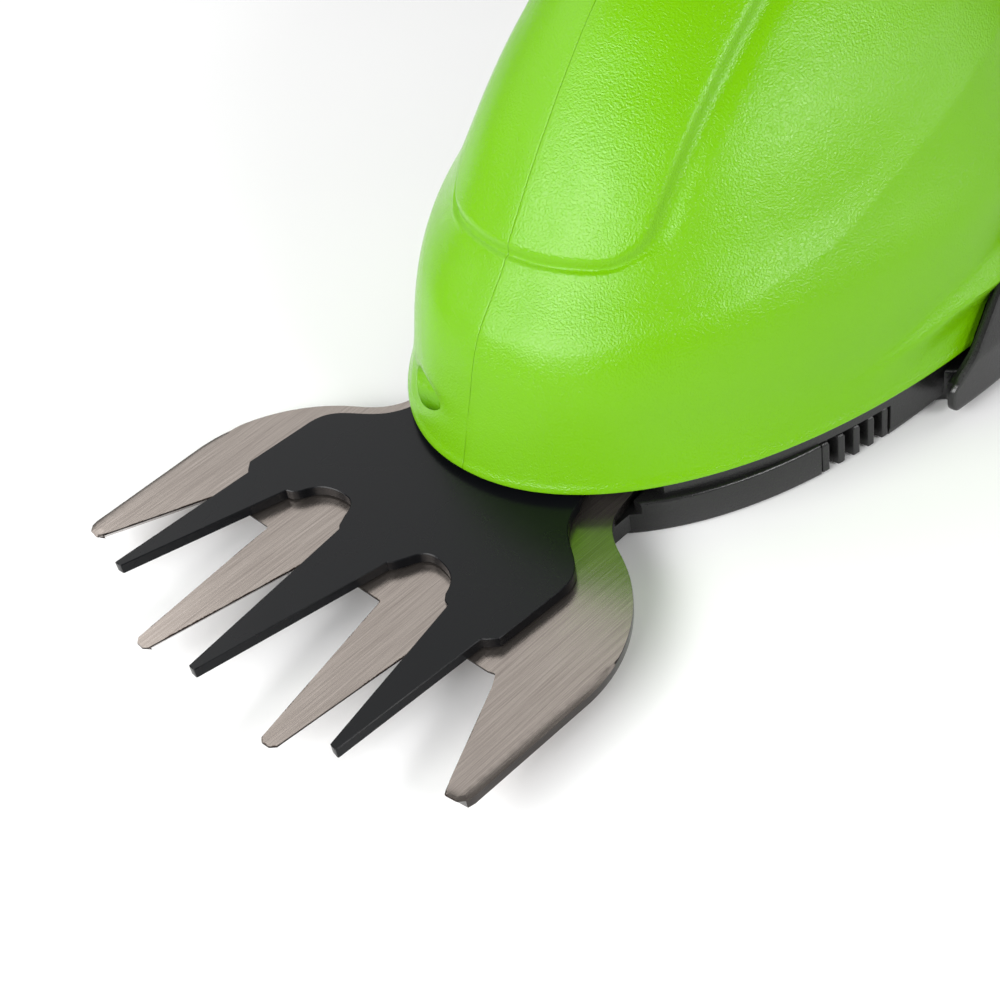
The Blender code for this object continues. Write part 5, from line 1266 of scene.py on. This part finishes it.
def grip_cover():
    """The soft sleeve round the grip, with rounded ends and moulded ribs 4 mm apart."""
    y0, y1 = GRIP_COVER_Y
    ends = np.array([0.0, 0.15, 0.5, 1.0])
    ys = np.concatenate([y0 + ends, np.linspace(y0 + 1.8, y1 - 1.8, 24), y1 - ends[::-1]])
    lift = np.interp(np.minimum(ys - y0, y1 - ys), ends, [-0.7, -0.35, -0.1, 0.0])
    skin = GAP + GRIP_COVER_T

    def ring(y, grow):
        return handle_ring((y, GRIP_Z, 0.0, 1.0, 0.2 * HANDLE_RUN), grow, 60, whole=True)

    outer = np.array([ring(y, skin + up) for y, up in zip(ys, lift)])
    inner = np.array([ring(y, GAP) for y in ys])
    rows, count = outer.shape[:2]
    size = rows * count
    index = np.arange(size).reshape(rows, count)
    quads = ring_quads(index)
    faces = [quads, quads[:, ::-1] + size, ring_quads(np.stack([index[0] + size, index[0]])),
             ring_quads(np.stack([index[-1], index[-1] + size]))]
    sleeve = from_arrays("sleeve", np.concatenate([outer.reshape(-1, 3), inner.reshape(-1, 3)]),
                         np.concatenate(faces), sharp=40.0)
    rounds = ribs(ring(y0 + 5.5, skin - 0.35), True, 10, (0, 4, 0), 0.8, SOFT_RUBBER)
    dress_joined("grip_sleeve", [sleeve, rounds], 40.0, "housing", "soft_grip", "grip_cover")


def trigger():
    """The lever, in Y and Z: a hooked finger rest that hangs from the pin's bore."""
    y, z = TRIGGER_Y, TRIGGER_Z
    front, rear, drop = y - 3.0, y + TRIGGER_LENGTH, z - TRIGGER_DROP
    nose, heel = (front + 6, drop + 0.5), (rear - 1, drop + 5)
    outline = [(front, z + 3), (front, z - 8)]
    outline += bezier((front, z - 8), (front + 1.5, drop + 4), (front + 2, drop), nose, 14)
    outline += bezier(nose, (y + 12, drop + 5), (rear - 6, drop + 7), heel, 20)
    outline += [heel, (rear, drop + 6.5), (rear, z - 3), (y + 6, z + 3)]
    outline = rounded(outline, 0.8, 4, 25.0)
    obj = slab("trigger_lever", [outline, circle(y, z, 1.8, 32)],
               edge_levels(-TRIGGER_HALF_WIDTH, TRIGGER_HALF_WIDTH, 0.9, 0.9), matrix=SIDE_FRAME)
    dress(obj, "trigger", "clutch_red", "trigger")


def lock_button():
    """The thumb slide: a rounded pad with cross ribs on a stem."""
    low, high = GRIP_TOP_Z + GAP, GRIP_TOP_Z + GAP + 3.0
    outline = rounded(rectangle(-LOCK_HALF_WIDTH, LOCK_HALF_WIDTH, LOCK_Y - LOCK_HALF_LENGTH,
                                LOCK_Y + LOCK_HALF_LENGTH), 1.6, 8)
    pad = slab("pad", [outline], edge_levels(low, high - 0.5, 0.3, 0.9))
    first = [(x, LOCK_Y - 4.8, high - 0.55) for x in (-3.6, 3.6)]
    cross = ribs(first, False, 5, (0, 2.4, 0), 0.55, RED_ABS)
    half = LOCK_STEM_HALF_WIDTH
    stem = block("stem", (-half, LOCK_Y - 5, 92.2), (half, LOCK_Y + 5, low + 1))
    flange = block("flange", (-4.5, LOCK_Y - 5.5, 96.0), (4.5, LOCK_Y + 6.5, 98.0))
    dress_joined("lock_slide_pad", [pad, cross, stem, flange], 35.0, "lock", "clutch_red", "lock_button")


def heel_foot():
    """The rubber foot, with ribs across its sole."""
    outline = rounded(rectangle(-FOOT_HALF_WIDTH, FOOT_HALF_WIDTH, *FOOT_Y), 2.5, 8)
    pad = slab("pad", [outline], edge_levels(0.45, 2.7, 0.4, 0.2))
    first = [(x, FOOT_Y[0] + 2.5, 0.5) for x in (-6.0, 6.0)]
    sole = ribs(first, False, 7, (0, 2.5, 0), 0.5, SOFT_RUBBER)
    dress_joined("heel_pad", [pad, sole], 30.0, "housing", "soft_grip", "heel_foot")


def screws():
    """The housing's screws, in three sets that share their direction and length, and the yoke's pair."""
    # name, nodes and their numbers, turn from heads up, axis along the screw, body
    quarter = math.pi / 2
    sets = [("nose_screw", "shell_screw_%d", (1,), (0, -quarter, 0), 0, "housing"),
            ("rear_screws", "shell_screw_%d", (2, 3, 4), (0, -quarter, 0), 0, "housing"),
            ("pan_screws", "pan_screw_%d", (1, 2, 3, 4), (math.pi, 0, 0), 2, "housing"),
            ("gearbox_screws", "gearbox_screw_%d", (1, 2, 3, 4), (0, 0, 0), 2, "housing"),
            ("yoke_screws", "yoke_screw_%d", (1, 2), (0, 0, 0), 2, "cutting_blade")]
    for name, pattern, numbers, turn, axis, body in sets:
        nodes = [pattern % n for n in numbers]
        points = []
        for low, high in (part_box(n) for n in nodes):
            top = [(a + b) / 2 / MM for a, b in zip(low, high)]
            top[axis] = (high if turn == (0, 0, 0) else low)[axis] / MM
            points.append(top)
        obj = grown(name, SCREWS, points, [], {
            "Head radius": SCREW_HEAD_R * MM, "Shank radius": SCREW_R * MM, "Length": high[axis] - low[axis],
            "Head height": (PAN_SCREW_HEAD_H if name == "pan_screws" else SCREW_HEAD_H) * MM,
            "Turn": turn, "Finish": ZINC})
        dress(obj, body, "zinc_steel", *nodes)


def springs():
    """Coil springs, each starting at its fixed end and sized to its part."""
    # node, axis, the way from the fixed end, turn, wire radius, turns, joint and how far it presses
    quarter = math.pi / 2
    rows = [("release_spring_left", 0, -1, (0, -quarter, 0), 0.4, 6, "left_release_push", BUTTON_TRAVEL),
            ("release_spring_right", 0, 1, (0, quarter, 0), 0.4, 6, "right_release_push", BUTTON_TRAVEL),
            ("lock_spring", 1, 1, (-quarter, 0, 0), 0.35, 7, "lock_slide", 4.0),
            ("trigger_spring", 2, -1, (math.pi, 0, 0), 0.45, 9, "trigger_pull", 4.1)]
    for name, axis, way, turn, wire, turns, joint, travel in rows:
        low, high = (np.array(c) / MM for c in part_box(name))
        start = (low + high) / 2
        radius = float(np.delete(high - low, axis).max()) / 2 - wire
        length = float(high[axis] - low[axis])
        start[axis] = low[axis] + wire if way > 0 else high[axis] - wire
        obj = grown(name + "_coil", SPRINGS, [start], [], {
            "Coil radius": radius * MM, "Wire radius": wire * MM, "Turns": float(turns),
            "Length": (length - 2 * wire) * MM, "Turn": turn, "Finish": ZINC})
        dress(obj, "housing", "zinc_steel", name)
        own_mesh(obj)


# Parts kept from the model, with better finishes

def dress_kept_parts():
    """Every part of the model takes the finish that the record's slot names for it."""
    slots = {s["node"]: s["material_slot"] for s in frame["record"]["subparts"]}
    for name, obj in frame["nodes"].items():
        for i in range(len(obj.material_slots)):
            obj.material_slots[i].material = SLOT_FINISH[slots[name]]


# Camera, light and floor

# The fitted camera: angles in degrees, place in metres, focal length in the photograph's pixels
CAMERA_AZIMUTH, CAMERA_ELEVATION, CAMERA_ROLL = 52.52, 41.77, -11.45
CAMERA_AT = (0.17629, -0.14501, 0.19670)
FOCAL_PIXELS = 1620.3
IMAGE_WIDTH = 1000.0


def camera():
    """The photograph's viewpoint, from a fit to the blades and the rim."""
    az, el, roll = (math.radians(a) for a in (CAMERA_AZIMUTH, CAMERA_ELEVATION, CAMERA_ROLL))
    back = Vector((math.sin(az) * math.cos(el), -math.cos(az) * math.cos(el), math.sin(el)))
    right = Vector((math.cos(az), math.sin(az), 0))
    up = back.cross(right)
    right, up = (math.cos(roll) * right + math.sin(roll) * up, -math.sin(roll) * right + math.cos(roll) * up)
    data = bpy.data.cameras.new("camera")
    data.sensor_width = 36.0
    data.lens = FOCAL_PIXELS * data.sensor_width / IMAGE_WIDTH
    data.clip_start, data.clip_end = 0.01, 20.0
    obj = linked("camera", data)
    rows = [(*row, at) for row, at in zip(zip(right, up, back), CAMERA_AT)]
    obj.matrix_world = Matrix(rows + [(0, 0, 0, 1)])
    bpy.context.scene.camera = obj


def softbox(name, azimuth, elevation, distance, size, power, target=(0.0, 0.02, 0.04)):
    """A rectangular soft light that faces the target. Azimuth 0 is in front of the blades, 90 at +X."""
    a, e = math.radians(azimuth), math.radians(elevation)
    back = Vector((math.sin(a) * math.cos(e), -math.cos(a) * math.cos(e), math.sin(e)))
    data = bpy.data.lights.new(name, "AREA")
    data.shape = "RECTANGLE"
    data.size, data.size_y = size
    data.energy = power
    obj = linked(name, data)
    obj.location = Vector(target) + back * distance
    obj.rotation_mode = "QUATERNION"
    obj.rotation_quaternion = back.to_track_quat("Z", "Y")


def studio():
    """Soft boxes whose reflections make the photograph's highlights, and a faint white surround."""
    softbox("front_box", -4, 31, 0.8, (0.95, 0.33), 9.0)
    softbox("right_box", 90, 28, 0.8, (0.34, 0.13), 2.75)
    softbox("flank_box", 121, 12, 0.8, (0.38, 0.12), 1.0)
    softbox("rear_box", 232, 42, 1.0, (1.0, 0.8), 2.7)
    softbox("back_box", 160, 50, 1.0, (0.7, 0.7), 1.2, (0.0, 0.15, 0.04))
    softbox("left_floor_box", -70, 60, 0.45, (0.4, 0.4), 0.8, (-0.3, -0.05, 0.0))
    world = bpy.data.worlds.new("studio")
    world.use_nodes = True
    background = world.node_tree.nodes["Background"]
    background.inputs["Color"].default_value = (1.0, 1.0, 1.0, 1.0)
    background.inputs["Strength"].default_value = 0.12
    bpy.context.scene.world = world
    bpy.context.scene.view_settings.view_transform = "Standard"


def floor():
    """A plain pale floor, just under the part so that the two don't fight."""
    mesh = bpy.data.meshes.new("floor")
    mesh.from_pydata([(x, y, 0) for x, y in rectangle(-6.0, 6.0, -6.0, 6.0)], [], [(0, 1, 2, 3)])
    mat, tree, shader, coords = material("matt_white_board", {"Roughness": 0.9, "Specular IOR Level": 0.1})
    colour_mix(tree, shader, noise(tree, coords, 3.0, 2.0), "F2F2F2", "F5F5F5")
    mesh.materials.append(mat)
    obj = linked("floor", mesh)
    obj.location = (0, 0, -0.2 * MM)


camera()
studio()
floor()
dress_kept_parts()
for each in (-1, 1):
    nose_shell(each)
    rear_shell(each)
    release_button(each)
base_pan()
lower_blade()
upper_blade()
grip_cover()
trigger()
lock_button()
heel_foot()
screws()
springs()
